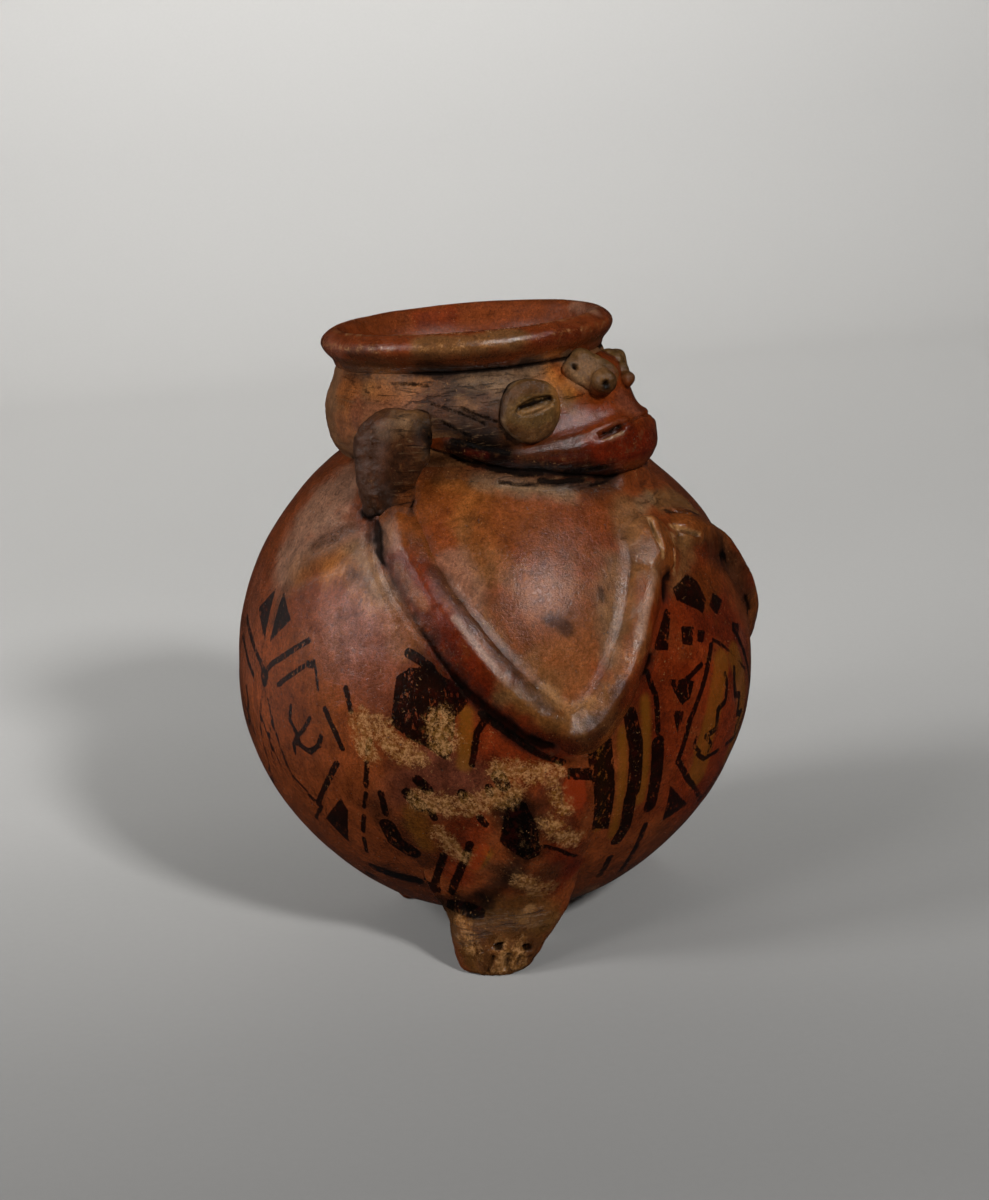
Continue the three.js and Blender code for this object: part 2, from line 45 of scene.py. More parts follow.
# Sizes, near the solids' own and moved a little where the photograph asks
BODY_RADIUS = 62.0
BODY_FLOOR_GAP = 4.1
BODY_WALL = 5.0
BOTTOM_SHARE = 0.927
SHOULDER_SHARE = 1.024
BODY_OUTLINE = [
    (-90, BOTTOM_SHARE), (-65, 0.955), (-45, 0.958), (-25, 0.973), (-5, 0.995),
    (15, 0.999), (32, 1.0), (46, 1.004), (60, SHOULDER_SHARE), (90, 1.04),
]
BODY_CENTRE = BODY_RADIUS * BOTTOM_SHARE + BODY_FLOOR_GAP
# Each swell: azimuth, latitude, spread in degrees, height
BODY_SWELLS = [(50, 27, 15, 2.4), (-50, 27, 15, 2.4), (152, 43, 27, 1.3)]

NECK_BULGE = 34.6
NECK_HEIGHT = 20.5
MOUTH_RADIUS = 26.5
NECK_OUTLINE = [
    (0.919, 0), (0.924, 0.04), (0.962, 0.13), (0.986, 0.24), (1, 0.49),
    (0.993, 0.62), (0.966, 0.75), (0.926, 0.88), (0.89, 1),
]
NECK_HOLLOW = [(0, 1), (0.03, 0.7), (0.2, 0.45), (0.14, 0.2), (0, 0)]
NECK_FOOT_RADIUS = NECK_BULGE * NECK_OUTLINE[0][0]
NECK_SEAT = BODY_CENTRE + ((BODY_RADIUS * SHOULDER_SHARE) ** 2 - NECK_FOOT_RADIUS ** 2) ** 0.5
RIM_RADIUS = 34.3
RIM_HEIGHT = 8.8
RIM_OUTLINE = [
    (0.9, 0), (0.93, 0.22), (0.975, 0.42), (1, 0.62), (0.99, 0.78), (0.955, 0.91),
    (0.91, 1), (0.872, 0.98), (0.838, 0.82), (0.802, 0.42), (0.7726, 0),
]

MUZZLE_REACH = 45.9
MUZZLE_JAW_PROUD = 1.2
MUZZLE_ROOT_RISE = 21.7
MUZZLE_TAIL_AZIMUTH = 80.0
MUZZLE_TAIL_SINK = 1.8
MUZZLE_TAIL_GAP = 1.6
# Heights over the neck's seat of the jaw's lower and upper edges, by azimuth
JAW_EDGES = [
    (0, -5.6, 6.5), (12, -5.4, 5.7), (21, -4.8, 4.7), (33, -3.6, 3.4), (46, -1.8, 2.9), (57, 0.4, 4.6),
    (67, 2.6, 7.3), (80, 4.4, 8.3),
]
# Each point: reach share, place (0 to 1 up the jaw, 1 to 2 up the snout), degrees it fades over, jaw share
MUZZLE_POINTS = [
    (0.62, 0.1, 34, 0), (0.83, -0.1, 34, 0), (0.885, -0.06, 34, 0.3), (0.945, 0.1, 34, 1),
    (0.985, 0.3, 34, 1), (0.997, 0.52, 34, 0.95), (0.982, 0.78, 34, 0.82), (0.95, 1.0, 33, 0.58),
    (0.918, 1.1, 31, 0.32), (0.89, 1.22, 28.5, 0.1), (0.868, 1.42, 26, 0), (0.85, 1.64, 24.5, 0),
    (0.822, 1.86, 24, 0), (0.76, 2.0, 24, 0), (0.6, 1.7, 24, 0), (0.57, 0.8, 34, 0),
]

EYE_RADIUS = 7.2
EYE_PROUD = 2.7
EYE_AZIMUTH = 38.6
EYE_RISE = 11.5

LUG_AZIMUTH = 88.0
LUG_LEAN = 7.0
LUG_REACH = 44.1
LUG_THICKNESS = 5.0
LUG_WIDTH = 18.0
LUG_TOP_RISE = 14.5
LUG_FOOT_RISE = -12.5
# Each station: reach share, height share from foot to top, width share, thickness share
LUG_STATIONS = [
    (0.72, 0.86, 0.5, 0.7), (0.79, 0.92, 0.72, 1.05), (0.865, 0.88, 0.92, 1.25), (0.925, 0.75, 1.04, 1.3),
    (0.945, 0.58, 1.0, 1.25), (0.94, 0.4, 0.8, 1.15), (0.928, 0.2, 0.68, 1.1), (0.92, 0.02, 0.6, 0.95),
    (0.9, -0.14, 0.5, 0.6),
]

ARM_HALF_WIDTH = 5.8
ARM_PROUD = 3.9
ARM_SINK = 2.5
# Each station: azimuth, latitude, half-width share, proud share
UPPER_ARM = [
    (88.5, 55.0, 0.4, 0.2), (87.0, 47.5, 0.8, 0.72), (82.6, 39.5, 0.98, 0.92), (76.8, 31.5, 1.02, 0.95),
    (70.5, 23.4, 1, 0.95), (64.8, 16, 0.98, 0.92), (58.9, 9.2, 0.95, 0.9), (52.4, 3, 0.93, 0.9),
    (44.8, -1, 0.8, 0.85),
]
FORE_ARM = [
    (49.4, 0, 0.75, 0.8), (43.6, -0.7, 0.86, 0.88), (38.9, 2, 0.8, 0.95), (34.4, 7.2, 0.74, 1),
    (30.2, 13, 0.72, 1.02), (26.4, 19, 0.72, 1.02), (21.9, 25.4, 0.76, 0.95), (17.5, 30.4, 0.8, 0.85),
]
RIGHT_HAND = [
    (20.5, 27.4, 0.62, 0.7), (17.2, 30.6, 0.98, 0.92), (14.2, 33.6, 1.12, 1), (11.6, 36.6, 1.02, 0.92),
    (9.8, 39.4, 0.7, 0.7),
]
LEFT_HAND = [
    (20.5, 27.4, 0.62, 0.7), (15.2, 29.6, 0.95, 0.9), (9.0, 31.8, 1.1, 1), (3.0, 33.8, 1.05, 0.95),
    (-2.6, 35.8, 0.72, 0.7),
]

LEG_HALF_WIDTH = 13.4
LEG_TOP = BODY_CENTRE * 0.909
FOOT_REACH = BODY_RADIUS * 0.779
THIGH_AZIMUTH = 49.0
FOOT_RIGHT_AZIMUTH = 68.5
FOOT_LEFT_AZIMUTH = 76.0
REAR_AZIMUTH = 180.0
REAR_FOOT_INSET = 10.3
REAR_FOOT_HIDING = 4.5
REAR_SLIMNESS = 0.8
# Each station: height share, outer reach share, inner reach share, half-width share
LEG_STATIONS = [
    (0.0, 0.9, 0.78, 0.4), (0.012, 0.955, 0.745, 0.56), (0.045, 0.975, 0.72, 0.67), (0.1, 0.985, 0.69, 0.79),
    (0.17, 0.992, 0.67, 0.92), (0.25, 1.01, 0.66, 1.03), (0.34, 1.05, 0.68, 1.06), (0.45, 1.11, 0.74, 1.04),
    (0.58, 1.17, 0.86, 0.99), (0.7, 1.227, 0.98, 0.92), (0.82, 1.268, 1.07, 0.78), (0.92, 1.288, 1.15, 0.55),
    (1, 1.272, 1.26, 0.05),
]

# The photograph's camera: angles in degrees, lengths in millimetres, picture in pixels
PHOTO_WIDTH = 989
PHOTO_HEIGHT = 1200
CAMERA_AZIMUTH = 60.0
CAMERA_ELEVATION = 14.84
CAMERA_ROLL = 4.77
CAMERA_DISTANCE = 560.0
FOCAL_PIXELS = 2302.0
CENTRE_DROP = 66.0
SENSOR = 36.0


# Numbers over the surface

def on_axis(azimuth, reach, height):
    """A point at an azimuth, a distance from the axis and a height."""
    angle = np.radians(azimuth)
    parts = np.broadcast_arrays(-reach * np.sin(angle), -reach * np.cos(angle), height)
    return np.stack(parts, -1).astype(float)


def smooth_at(table, place, column=1):
    """Reads a table of (place, value, ...) rows, with a smooth run between them."""
    rows = np.array([(row[0], row[column]) for row in table], float)
    at = np.clip(np.searchsorted(rows[:, 0], place), 1, len(rows) - 1)
    before, low, high, after = (rows[np.clip(at + step, 0, len(rows) - 1)] for step in (-2, -1, 0, 1))
    run = high[..., 0] - low[..., 0]
    share = np.clip((place - low[..., 0]) / run, 0, 1)
    start = (high[..., 1] - before[..., 1]) / (high[..., 0] - before[..., 0]) * run
    end = (after[..., 1] - low[..., 1]) / (after[..., 0] - low[..., 0]) * run
    square, cube = share ** 2, share ** 3
    return (low[..., 1] * (2 * cube - 3 * square + 1) + start * (cube - 2 * square + share)
            + high[..., 1] * (3 * square - 2 * cube) + end * (cube - square))


def smooth_row(table, along):
    """Whole rows of a table, smoothly between its stations, at places from 0 to 1 along it."""
    rows = np.array(table, float)
    steps = np.linspace(0, 1, len(rows))
    columns = [smooth_at(np.stack([steps, rows[:, i]], -1), along) for i in range(rows.shape[1])]
    return np.stack(columns, -1)


def ease(low, high, value):
    """0 below low, 1 above high and a smooth step between; low may be the larger."""
    share = np.clip((value - low) / (high - low), 0, 1)
    return share * share * (3 - 2 * share)


def lerp(a, b, share):
    return a + (b - a) * share


def unit(vectors):
    return vectors / np.maximum(np.linalg.norm(vectors, axis=-1, keepdims=True), TINY)


def directions(azimuth, latitude):
    up = np.radians(latitude)
    return on_axis(azimuth, np.cos(up), np.sin(up))


def places(aims):
    """Azimuth and latitude of directions from the body's centre."""
    latitude = np.degrees(np.arcsin(np.clip(aims[..., 2], -1, 1)))
    return np.degrees(np.arctan2(-aims[..., 0], -aims[..., 1])), latitude


LATTICE_SIZE = 48
LATTICE_SEED = 11
LATTICE = np.random.default_rng(LATTICE_SEED).uniform(-1, 1, (LATTICE_SIZE,) * 3)
# Added to every place, so that none has a cell below zero
LATTICE_START = LATTICE_SIZE * 8


def noise(points, size, shift=0.0):
    """Smooth noise from -1 to 1 whose lumps are about size across."""
    cell = points / size + shift + LATTICE_START
    low = np.floor(cell).astype(int)
    share = cell - low
    u, v, w = np.moveaxis(share * share * (3 - 2 * share), -1, 0)
    x, y, z = np.moveaxis(low % LATTICE_SIZE, -1, 0)
    x1, y1, z1 = ((part + 1) % LATTICE_SIZE for part in (x, y, z))
    layers = []
    for level in (z, z1):
        low_side = lerp(LATTICE[x, y, level], LATTICE[x1, y, level], u)
        high_side = lerp(LATTICE[x, y1, level], LATTICE[x1, y1, level], u)
        layers.append(lerp(low_side, high_side, v))
    return lerp(layers[0], layers[1], w)


def line_distance(points, line):
    """Distance from points to a line of straight runs, and how far along it the nearest place is."""
    line = np.asarray(line, float)
    if len(line) == 1:
        return np.linalg.norm(points - line[0], axis=-1), np.zeros(len(points))
    best = np.full(len(points), np.inf)
    along = np.zeros(len(points))
    for i in range(len(line) - 1):
        run = line[i + 1] - line[i]
        share = np.clip((points - line[i]) @ run / max(run @ run, TINY), 0, 1)
        away = np.linalg.norm(points - line[i] - share[:, None] * run, axis=-1)
        nearer = away < best
        best = np.where(nearer, away, best)
        along = np.where(nearer, (i + share) / (len(line) - 1), along)
    return best, along


def near(points, line, reach):
    """Which points lie near enough to a line for it to matter."""
    middle = line.mean(0)
    spread = np.linalg.norm(line - middle, axis=1).max() + reach
    return np.linalg.norm(points - middle, axis=1) < spread


def layered(points, layers):
    """Noises laid over one another, each (size, height, shift)."""
    return sum(height * noise(points, size, shift) for size, height, shift in layers)


# The body's skin

ARM_LINE_STEPS = 40
FILLET_RISE = 0.8
FILLET_REACH = 1.7
# The potter's unevenness: size and height in millimetres, shift
UNEVEN = [(27, 0.42, 0), (11, 0.16, 5.3), (4.6, 0.06, 9.1)]


def plain_reach(azimuth, latitude):
    reach = BODY_RADIUS * smooth_at(BODY_OUTLINE, latitude)
    for swell_azimuth, swell_latitude, spread, height in BODY_SWELLS:
        turn = (azimuth - swell_azimuth + HALF_TURN) % FULL_TURN - HALF_TURN
        away = np.hypot(turn * np.cos(np.radians(latitude)), latitude - swell_latitude) / spread
        reach = reach + height * np.exp(-away ** 2)
    return reach


def skin_reach(aims):
    """Distance from the body's centre to its hand-shaped outside, along directions."""
    azimuth, latitude = places(aims)
    return plain_reach(azimuth, latitude) + layered(aims * BODY_RADIUS, UNEVEN)


def centre_line(stations):
    """Points on a globe of the body's radius along stations of azimuth and latitude."""
    rows = smooth_row(stations, np.linspace(0, 1, ARM_LINE_STEPS))
    return unit(directions(rows[:, 0], rows[:, 1])) * BODY_RADIUS, rows


def edge_distance(aims, stations, half_width):
    """How far directions lie outside a luted band, in millimetres over the body."""
    line, rows = centre_line(stations)
    away, along = line_distance(aims * BODY_RADIUS, line)
    shares = np.interp(along, np.linspace(0, 1, len(rows)), rows[:, 2])
    return away - half_width * shares


def mirrored(stations):
    return [(-row[0], *row[1:]) for row in stations]


ARM_BANDS = {
    "right": [UPPER_ARM, FORE_ARM, RIGHT_HAND],
    "left": [mirrored(UPPER_ARM), mirrored(FORE_ARM), mirrored(LEFT_HAND)],
}


def arm_edges(aims):
    away = [edge_distance(aims, band, ARM_HALF_WIDTH) for bands in ARM_BANDS.values() for band in bands]
    return np.min(away, axis=0)


# Building pieces

SEAM = 1e-7
SMOOTHING = 0.5
# How far apart the noises of one piece's layers lie
LAYER_SHIFT = 3.7
FIRST_SHIFT = 1.9


def move_corners(piece, points):
    """Moves a piece's corners to points in millimetres."""
    piece.data.vertices.foreach_set("co", (points * METRES).astype(np.float32).ravel())
    piece.data.update()
    return piece


def take_shape(piece, points):
    """Moves a piece's corners to points in millimetres, closes its seams and turns its faces outwards."""
    move_corners(piece, points)
    bpy.ops.object.mode_set(mode="EDIT")
    bpy.ops.mesh.select_all(action="SELECT")
    bpy.ops.mesh.remove_doubles(threshold=SEAM)
    bpy.ops.mesh.normals_make_consistent(inside=False)
    bpy.ops.mesh.select_all(action="DESELECT")
    bpy.ops.object.mode_set(mode="OBJECT")
    bpy.ops.object.shade_smooth()
    return piece


def corners(piece):
    points = np.empty(len(piece.data.vertices) * 3, np.float32)
    piece.data.vertices.foreach_get("co", points)
    return points.reshape(-1, 3).astype(float)


def outward(piece):
    normals = np.empty(len(piece.data.vertices) * 3, np.float32)
    piece.data.vertices.foreach_get("normal", normals)
    return normals.reshape(-1, 3).astype(float)


def from_ball(name, columns, rows, place):
    """A closed piece from a sheet: place gives each point from along (0 to 1, pole to pole) and round."""
    bpy.ops.object.select_all(action="DESELECT")
    bpy.ops.mesh.primitive_grid_add(x_subdivisions=columns, y_subdivisions=rows, size=2)
    piece = bpy.context.object
    piece.name = name
    sheet = corners(piece)
    return take_shape(piece, place((sheet[:, 1] + 1) / 2, (sheet[:, 0] + 1) / 2 % 1))


def from_ring(name, columns, rows, place):
    """A closed ring from a torus: place gives each point from its way round and its way about the section."""
    bpy.ops.object.select_all(action="DESELECT")
    bpy.ops.mesh.primitive_torus_add(
        major_segments=columns, minor_segments=rows, major_radius=2, minor_radius=1)
    piece = bpy.context.object
    piece.name = name
    ring = corners(piece)
    turn = np.arctan2(ring[:, 1], ring[:, 0]) / (2 * np.pi) % 1
    about = np.arctan2(ring[:, 2], np.hypot(ring[:, 0], ring[:, 1]) - 2) / (2 * np.pi) % 1
    return take_shape(piece, place(turn, about))


def closed_loop(points, about):
    """Points round a closed outline at shares of its length, smoothly between its corners."""
    points = np.array(points, float)
    ring = np.concatenate([points[-2:], points, points[:3]])
    steps = np.concatenate([[0], np.cumsum(np.linalg.norm(np.diff(ring, axis=0), axis=1))])
    start, end = steps[2], steps[2 + len(points)]
    at = start + (end - start) * about
    return np.stack([smooth_at(np.stack([steps, ring[:, i]], -1), at) for i in range(ring.shape[1])], -1)


def remesh(piece, voxel, smoothing):
    """Fuses a piece's overlapping skins into one and softens it."""
    bpy.ops.object.select_all(action="DESELECT")
    piece.select_set(True)
    bpy.context.view_layer.objects.active = piece
    bpy.ops.object.modifier_add(type="REMESH")
    piece.modifiers[-1].mode = "VOXEL"
    piece.modifiers[-1].voxel_size = voxel * METRES
    bpy.ops.object.modifier_apply(modifier=piece.modifiers[-1].name)
    bpy.ops.object.modifier_add(type="SMOOTH")
    piece.modifiers[-1].factor = SMOOTHING
    piece.modifiers[-1].iterations = smoothing
    bpy.ops.object.modifier_apply(modifier=piece.modifiers[-1].name)
    bpy.ops.object.shade_smooth()
    return piece


def join(name, *pieces):
    bpy.ops.object.select_all(action="DESELECT")
    for piece in pieces:
        piece.select_set(True)
    bpy.context.view_layer.objects.active = pieces[0]
    bpy.ops.object.join()
    pieces[0].name = name
    return pieces[0]


def roughen(piece, *layers, share=1.0):
    """Pushes corners along their normals by layers of noise, each (size, height)."""
    points = corners(piece) / METRES
    lift = layered(points, [(*layer, LAYER_SHIFT * i + FIRST_SHIFT) for i, layer in enumerate(layers)])
    return move_corners(piece, points + outward(piece) * (lift * share)[:, None])


# Body

BODY_COLUMNS = 380
BODY_ROWS = 260
OUTER_SHARE = 0.87
LIP_SHARE = 0.885
BOTTOM_ROWS_SHARE = 0.12
BOTTOM_LATITUDE = -52.0
# Columns crowd towards the side that the photograph shows
CROWDING = 0.42
SEAT_INSET = 1.5
MOUTH_EDGE_SHARE = 0.6
MOUTH_EDGE_OUT = 1.0


def body_points(along, turn):
    """Out from the lower pole to the neck's seat, over its edge, and down the inside."""
    opposite = CAMERA_AZIMUTH + HALF_TURN
    azimuth = opposite + FULL_TURN * turn + np.degrees(CROWDING * np.sin(2 * np.pi * turn))
    azimuth = (azimuth + HALF_TURN) % FULL_TURN - HALF_TURN
    seat_latitude = np.degrees(np.arctan2(NECK_SEAT - BODY_CENTRE, NECK_FOOT_RADIUS - SEAT_INSET))
    out = np.clip(along / OUTER_SHARE, 0, 1)
    latitude = np.where(
        out < BOTTOM_ROWS_SHARE, lerp(-QUARTER_TURN, BOTTOM_LATITUDE, out / BOTTOM_ROWS_SHARE),
        lerp(BOTTOM_LATITUDE, seat_latitude, (out - BOTTOM_ROWS_SHARE) / (1 - BOTTOM_ROWS_SHARE)))
    aims = directions(azimuth, latitude)
    edge = arm_edges(aims)
    fillet = FILLET_RISE * np.exp(-(np.maximum(edge, 0) / FILLET_REACH) ** 2)
    outside = aims * (skin_reach(aims) + fillet)[:, None] + (0, 0, BODY_CENTRE)
    back = np.clip((along - LIP_SHARE) / (1 - LIP_SHARE), 0, 1)
    edge_height = NECK_SEAT - BODY_CENTRE - BODY_WALL * MOUTH_EDGE_SHARE
    mouth_latitude = np.degrees(np.arctan2(edge_height, MOUTH_RADIUS + MOUTH_EDGE_OUT))
    inner_aims = directions(azimuth, lerp(mouth_latitude, -QUARTER_TURN, back))
    inner_reach = plain_reach(*places(inner_aims)) - BODY_WALL
    inside = inner_aims * inner_reach[:, None] + (0, 0, BODY_CENTRE)
    across = np.clip((along - OUTER_SHARE) / (LIP_SHARE - OUTER_SHARE), 0, 1)[:, None]
    return np.where(along[:, None] < OUTER_SHARE, outside, lerp(outside, inside, across))


body = from_ball("clay_body", BODY_COLUMNS, BODY_ROWS, body_points)


# Neck and rim

NECK_COLUMNS = 320
NECK_ROWS = 110
RIM_ROWS = 84
# The gap that the solids keep between pieces
PIECE_GAP = 0.3
NECK_LAP = 0.6
NECK_FOOT = NECK_SEAT + PIECE_GAP
# How far outside the mouth the neck's unevenness starts, and where it is full
NECK_STEADY = (1, 4)
RIM_FOOT = NECK_SEAT + NECK_HEIGHT + 2 * PIECE_GAP
RIM_STEADY_SHARE = 0.6
# Slow unevenness round the axis: its height in millimetres and its seed
NECK_WOBBLE = (0.3, 3.1)
RIM_WOBBLE_OUT = (0.35, 8.2)
RIM_WOBBLE_UP = (0.4, 14.6)
WOBBLE_WAVES = 1.5
RIM_GRAIN = [(6, 0.08), (2.2, 0.03)]
# A wet finger's ridges: how many fit across, their height in millimetres, how deep each is, shift
WIPINGS = [(9, 0.8, 0.09, 0.0), (6, 2.6, 0.1, 7.7)]


def neck_profile():
    outside = [(NECK_BULGE * reach, NECK_FOOT + NECK_HEIGHT * up) for reach, up in NECK_OUTLINE]
    hollow = [(lerp(MOUTH_RADIUS, NECK_BULGE, reach), NECK_FOOT + NECK_HEIGHT * up)
              for reach, up in NECK_HOLLOW]
    outside[0] = (outside[0][0], NECK_FOOT - NECK_LAP)
    hollow[-1] = (hollow[-1][0], NECK_FOOT - NECK_LAP)
    outside[-1] = (outside[-1][0], outside[-1][1] + NECK_LAP)
    hollow[0] = (hollow[0][0], hollow[0][1] + NECK_LAP)
    return outside + hollow


def wobble(azimuth, height, seed):
    return height * noise(on_axis(azimuth, WOBBLE_WAVES, seed), 1.0)


def wiping(azimuth, height):
    """Fine ridges that a wet finger drew round the neck."""
    return sum(deep * noise(on_axis(azimuth, NECK_BULGE / count, height / tall), 1.0, shift)
               for count, tall, deep, shift in WIPINGS)


def neck_points(turn, about):
    azimuth = FULL_TURN * turn
    reach, height = closed_loop(neck_profile(), about).T
    outer = ease(*(MOUTH_RADIUS + out for out in NECK_STEADY), reach)
    reach = reach + outer * (wobble(azimuth, *NECK_WOBBLE) + wiping(azimuth, height))
    return on_axis(azimuth, reach, height)


def neck_reach(height):
    """How far the neck's outside lies from the axis at a height."""
    table = [(NECK_FOOT + NECK_HEIGHT * up, NECK_BULGE * reach) for reach, up in NECK_OUTLINE]
    return smooth_at(table, height)


def rim_points(turn, about):
    azimuth = FULL_TURN * turn
    outline = [(RIM_RADIUS * reach, RIM_FOOT + RIM_HEIGHT * up) for reach, up in RIM_OUTLINE]
    reach, height = closed_loop(outline, about).T
    up = ease(RIM_FOOT, RIM_FOOT + RIM_HEIGHT * RIM_STEADY_SHARE, height)
    reach = reach + up * wobble(azimuth, *RIM_WOBBLE_OUT)
    height = height + up * wobble(azimuth, *RIM_WOBBLE_UP)
    return on_axis(azimuth, reach, height)


neck = from_ring("clay_neck", NECK_COLUMNS, NECK_ROWS, neck_points)
rim = roughen(from_ring("clay_rim", NECK_COLUMNS, RIM_ROWS, rim_points), *RIM_GRAIN)


# Muzzle

MUZZLE_ROWS = 280
MUZZLE_COLUMNS = 180
MUZZLE_CROWDING = 0.5
# How squarely the jaw's ends close, and how the snout's root falls to the jaw on the way back
TAIL_SQUARENESS = 8
ROOT_FALL = (1.25, 1.3)
MUZZLE_GRAIN = [(6, 0.2), (2, 0.07)]
# Slits: how many half widths out they reach, how squarely they end, and where their lip stands
SLIT_REACH = 6
SLIT_SQUARENESS = 6
LIP_PLACE = 1.7


def muzzle_points(along, turn):
    run = 2 * along - 1
    azimuth = MUZZLE_TAIL_AZIMUTH * lerp(run, run ** 3, MUZZLE_CROWDING)
    far = np.abs(azimuth) / MUZZLE_TAIL_AZIMUTH
    size = np.sqrt(np.maximum(1 - far ** TAIL_SQUARENESS, 0))
    reach, place, fade, jaw = closed_loop(MUZZLE_POINTS, turn).T
    low = NECK_SEAT + smooth_at(JAW_EDGES, np.abs(azimuth), 1)
    high = NECK_SEAT + smooth_at(JAW_EDGES, np.abs(azimuth), 2)
    falling = np.minimum(far * ROOT_FALL[0], 1) ** ROOT_FALL[1]
    root = lerp(NECK_SEAT + MUZZLE_ROOT_RISE, high + MUZZLE_TAIL_GAP, falling)
    height = np.where(place < 1, lerp(low, high, place), lerp(high, root, place - 1))
    tail_reach = neck_reach(height) + lerp(-MUZZLE_TAIL_SINK, MUZZLE_JAW_PROUD, np.clip(jaw, 0, 1))
    fading = np.exp(-((azimuth / fade) ** 2))
    point = on_axis(azimuth, lerp(tail_reach, MUZZLE_REACH * reach, fading), height)
    middle_height = (low + high) / 2
    middle = on_axis(azimuth, neck_reach(middle_height), middle_height)
    return lerp(middle, point, size[:, None])


def slit(piece, line, half, depth, lip, floor=0.35):
    """Presses a slit with a raised edge into a piece along a line."""
    points = corners(piece) / METRES
    line = np.asarray(line, float)
    close = near(points, line, SLIT_REACH * half)
    away, along = line_distance(points[close], line)
    ends = np.sqrt(np.clip(1 - (2 * along - 1) ** SLIT_SQUARENESS, 0, 1)) if len(line) > 1 else 1
    edge = lip * np.exp(-((away - half * LIP_PLACE) / half) ** 2)
    press = edge - depth * ends * ease(half, half * floor, away)
    points[close] += outward(piece)[close] * press[:, None]
    return move_corners(piece, points)


muzzle = from_ball("clay_muzzle", MUZZLE_COLUMNS, MUZZLE_ROWS, muzzle_points)
muzzle = roughen(muzzle, *MUZZLE_GRAIN)


# Reaching the surface

RAY_START = 150.0


def surface(*pieces):
    """Search trees of pieces, for rays and for nearest places."""
    graph = bpy.context.evaluated_depsgraph_get()
    return [BVHTree.FromObject(piece, graph) for piece in pieces]


def touch(trees, start, aim):
    """The first place that a ray in millimetres meets, or None."""
    best, found = np.inf, None
    for tree in trees:
        spot, _, _, away = tree.ray_cast(Vector(start) * METRES, Vector(aim))
        if spot is not None and away < best:
            best, found = away, np.array(spot) / METRES
    return found


def camera_axes():
    azimuth, elevation = np.radians(CAMERA_AZIMUTH), np.radians(CAMERA_ELEVATION)
    level = np.array([-np.sin(azimuth), -np.cos(azimuth), 0.0])
    back = level * np.cos(elevation) + (0, 0, np.sin(elevation))
    right = unit(np.cross((0, 0, 1), back))
    up = np.cross(back, right)
    roll = np.radians(CAMERA_ROLL)
    return (right * np.cos(roll) - up * np.sin(roll), right * np.sin(roll) + up * np.cos(roll), back)


EYE_POINT = np.array([0, 0, BODY_CENTRE]) + CAMERA_DISTANCE * camera_axes()[2]


def seen(trees, x, y):
    """The place that shows at a pixel of the photograph, or None."""
    right, up, back = camera_axes()
    across = (x - PHOTO_WIDTH / 2) / FOCAL_PIXELS
    rise = (PHOTO_HEIGHT / 2 + CENTRE_DROP - y) / FOCAL_PIXELS
    return touch(trees, EYE_POINT, unit(across * right + rise * up - back))


def seen_line(trees, line):
    spots = [seen(trees, x, y) for x, y in line]
    return np.array([spot for spot in spots if spot is not None])


# Eyes

# Each point: distance from the middle and height, from the seat to the front
EYE_PROFILE = [
    (0, -1), (0.9, -1), (0.97, -0.3), (1, 0.3), (0.985, 0.6), (0.92, 0.84), (0.78, 0.97), (0.5, 1.04),
    (0, 1.07),
]
EYE_COLUMNS = 110
EYE_ROWS = 90
EYE_GRAIN = [(3, 0.26), (1.1, 0.08)]
EYE_FRONT = 0.5
EYE_SLIT_HALF = 4.7
EYE_SLIT_TALL = 1.55
EYE_SLIT_DEPTH = 1.25
EYE_SLIT_TILT = 11.0
EYE_SLIT_RISE = 1.2
EYE_SLIT_SHIFT = 0.5
EYE_SLIT_SOFTNESS = 0.6
EYE_LENS_EDGES = (0.5, -0.15)
EYE_BAR_RISE = 1.35
EYE_BAR_DROP = 0.75
EYE_BAR_HALF = 0.95
EYE_BAR_END = 1.5
SIDES = {"right": 1, "left": -1}


def eye_slit(x, y):
    """How deep the eye's slit is pressed in at a place on its front, with a bar left standing in it."""
    tilt = np.radians(EYE_SLIT_TILT)
    u = x * np.cos(tilt) + y * np.sin(tilt) - EYE_SLIT_SHIFT
    v = y * np.cos(tilt) - x * np.sin(tilt) - EYE_SLIT_RISE
    lens = EYE_SLIT_TALL * np.sqrt(np.clip(1 - (u / EYE_SLIT_HALF) ** 2, 0, 1))
    outer, inner = (lens + edge for edge in EYE_LENS_EDGES)
    ends = ease(EYE_SLIT_HALF + EYE_SLIT_SOFTNESS, EYE_SLIT_HALF - EYE_SLIT_SOFTNESS, np.abs(u))
    bar = np.exp(-((v + EYE_BAR_DROP) / EYE_BAR_HALF) ** 2)
    bar = bar * ease(EYE_SLIT_HALF, EYE_SLIT_HALF - EYE_BAR_END, np.abs(u))
    return ease(outer, inner, np.abs(v)) * ends * (EYE_SLIT_DEPTH - EYE_BAR_RISE * bar)


def eye_points(side):
    out = on_axis(EYE_AZIMUTH * side, 1, 0)
    across = on_axis((EYE_AZIMUTH - QUARTER_TURN) * side, 1, 0)
    height = NECK_SEAT + EYE_RISE
    seat = on_axis(EYE_AZIMUTH * side, neck_reach(height), height)

    def place(along, turn):
        rows = smooth_row(EYE_PROFILE, along)
        angle = 2 * np.pi * turn
        x, y = (EYE_RADIUS * rows[:, 0] * part for part in (np.cos(angle), np.sin(angle)))
        front = (rows[:, 1] > EYE_FRONT) * (along > EYE_FRONT)
        z = EYE_PROUD * rows[:, 1] - front * eye_slit(x, y)
        bent = z - (x / NECK_BULGE) ** 2 * NECK_BULGE / 2
        return seat + x[:, None] * across + y[:, None] * (0, 0, 1) + bent[:, None] * out
    return place


eyes = {hand: roughen(from_ball(f"clay_eye_{hand}", EYE_COLUMNS, EYE_ROWS, eye_points(side)), *EYE_GRAIN)
        for hand, side in SIDES.items()}


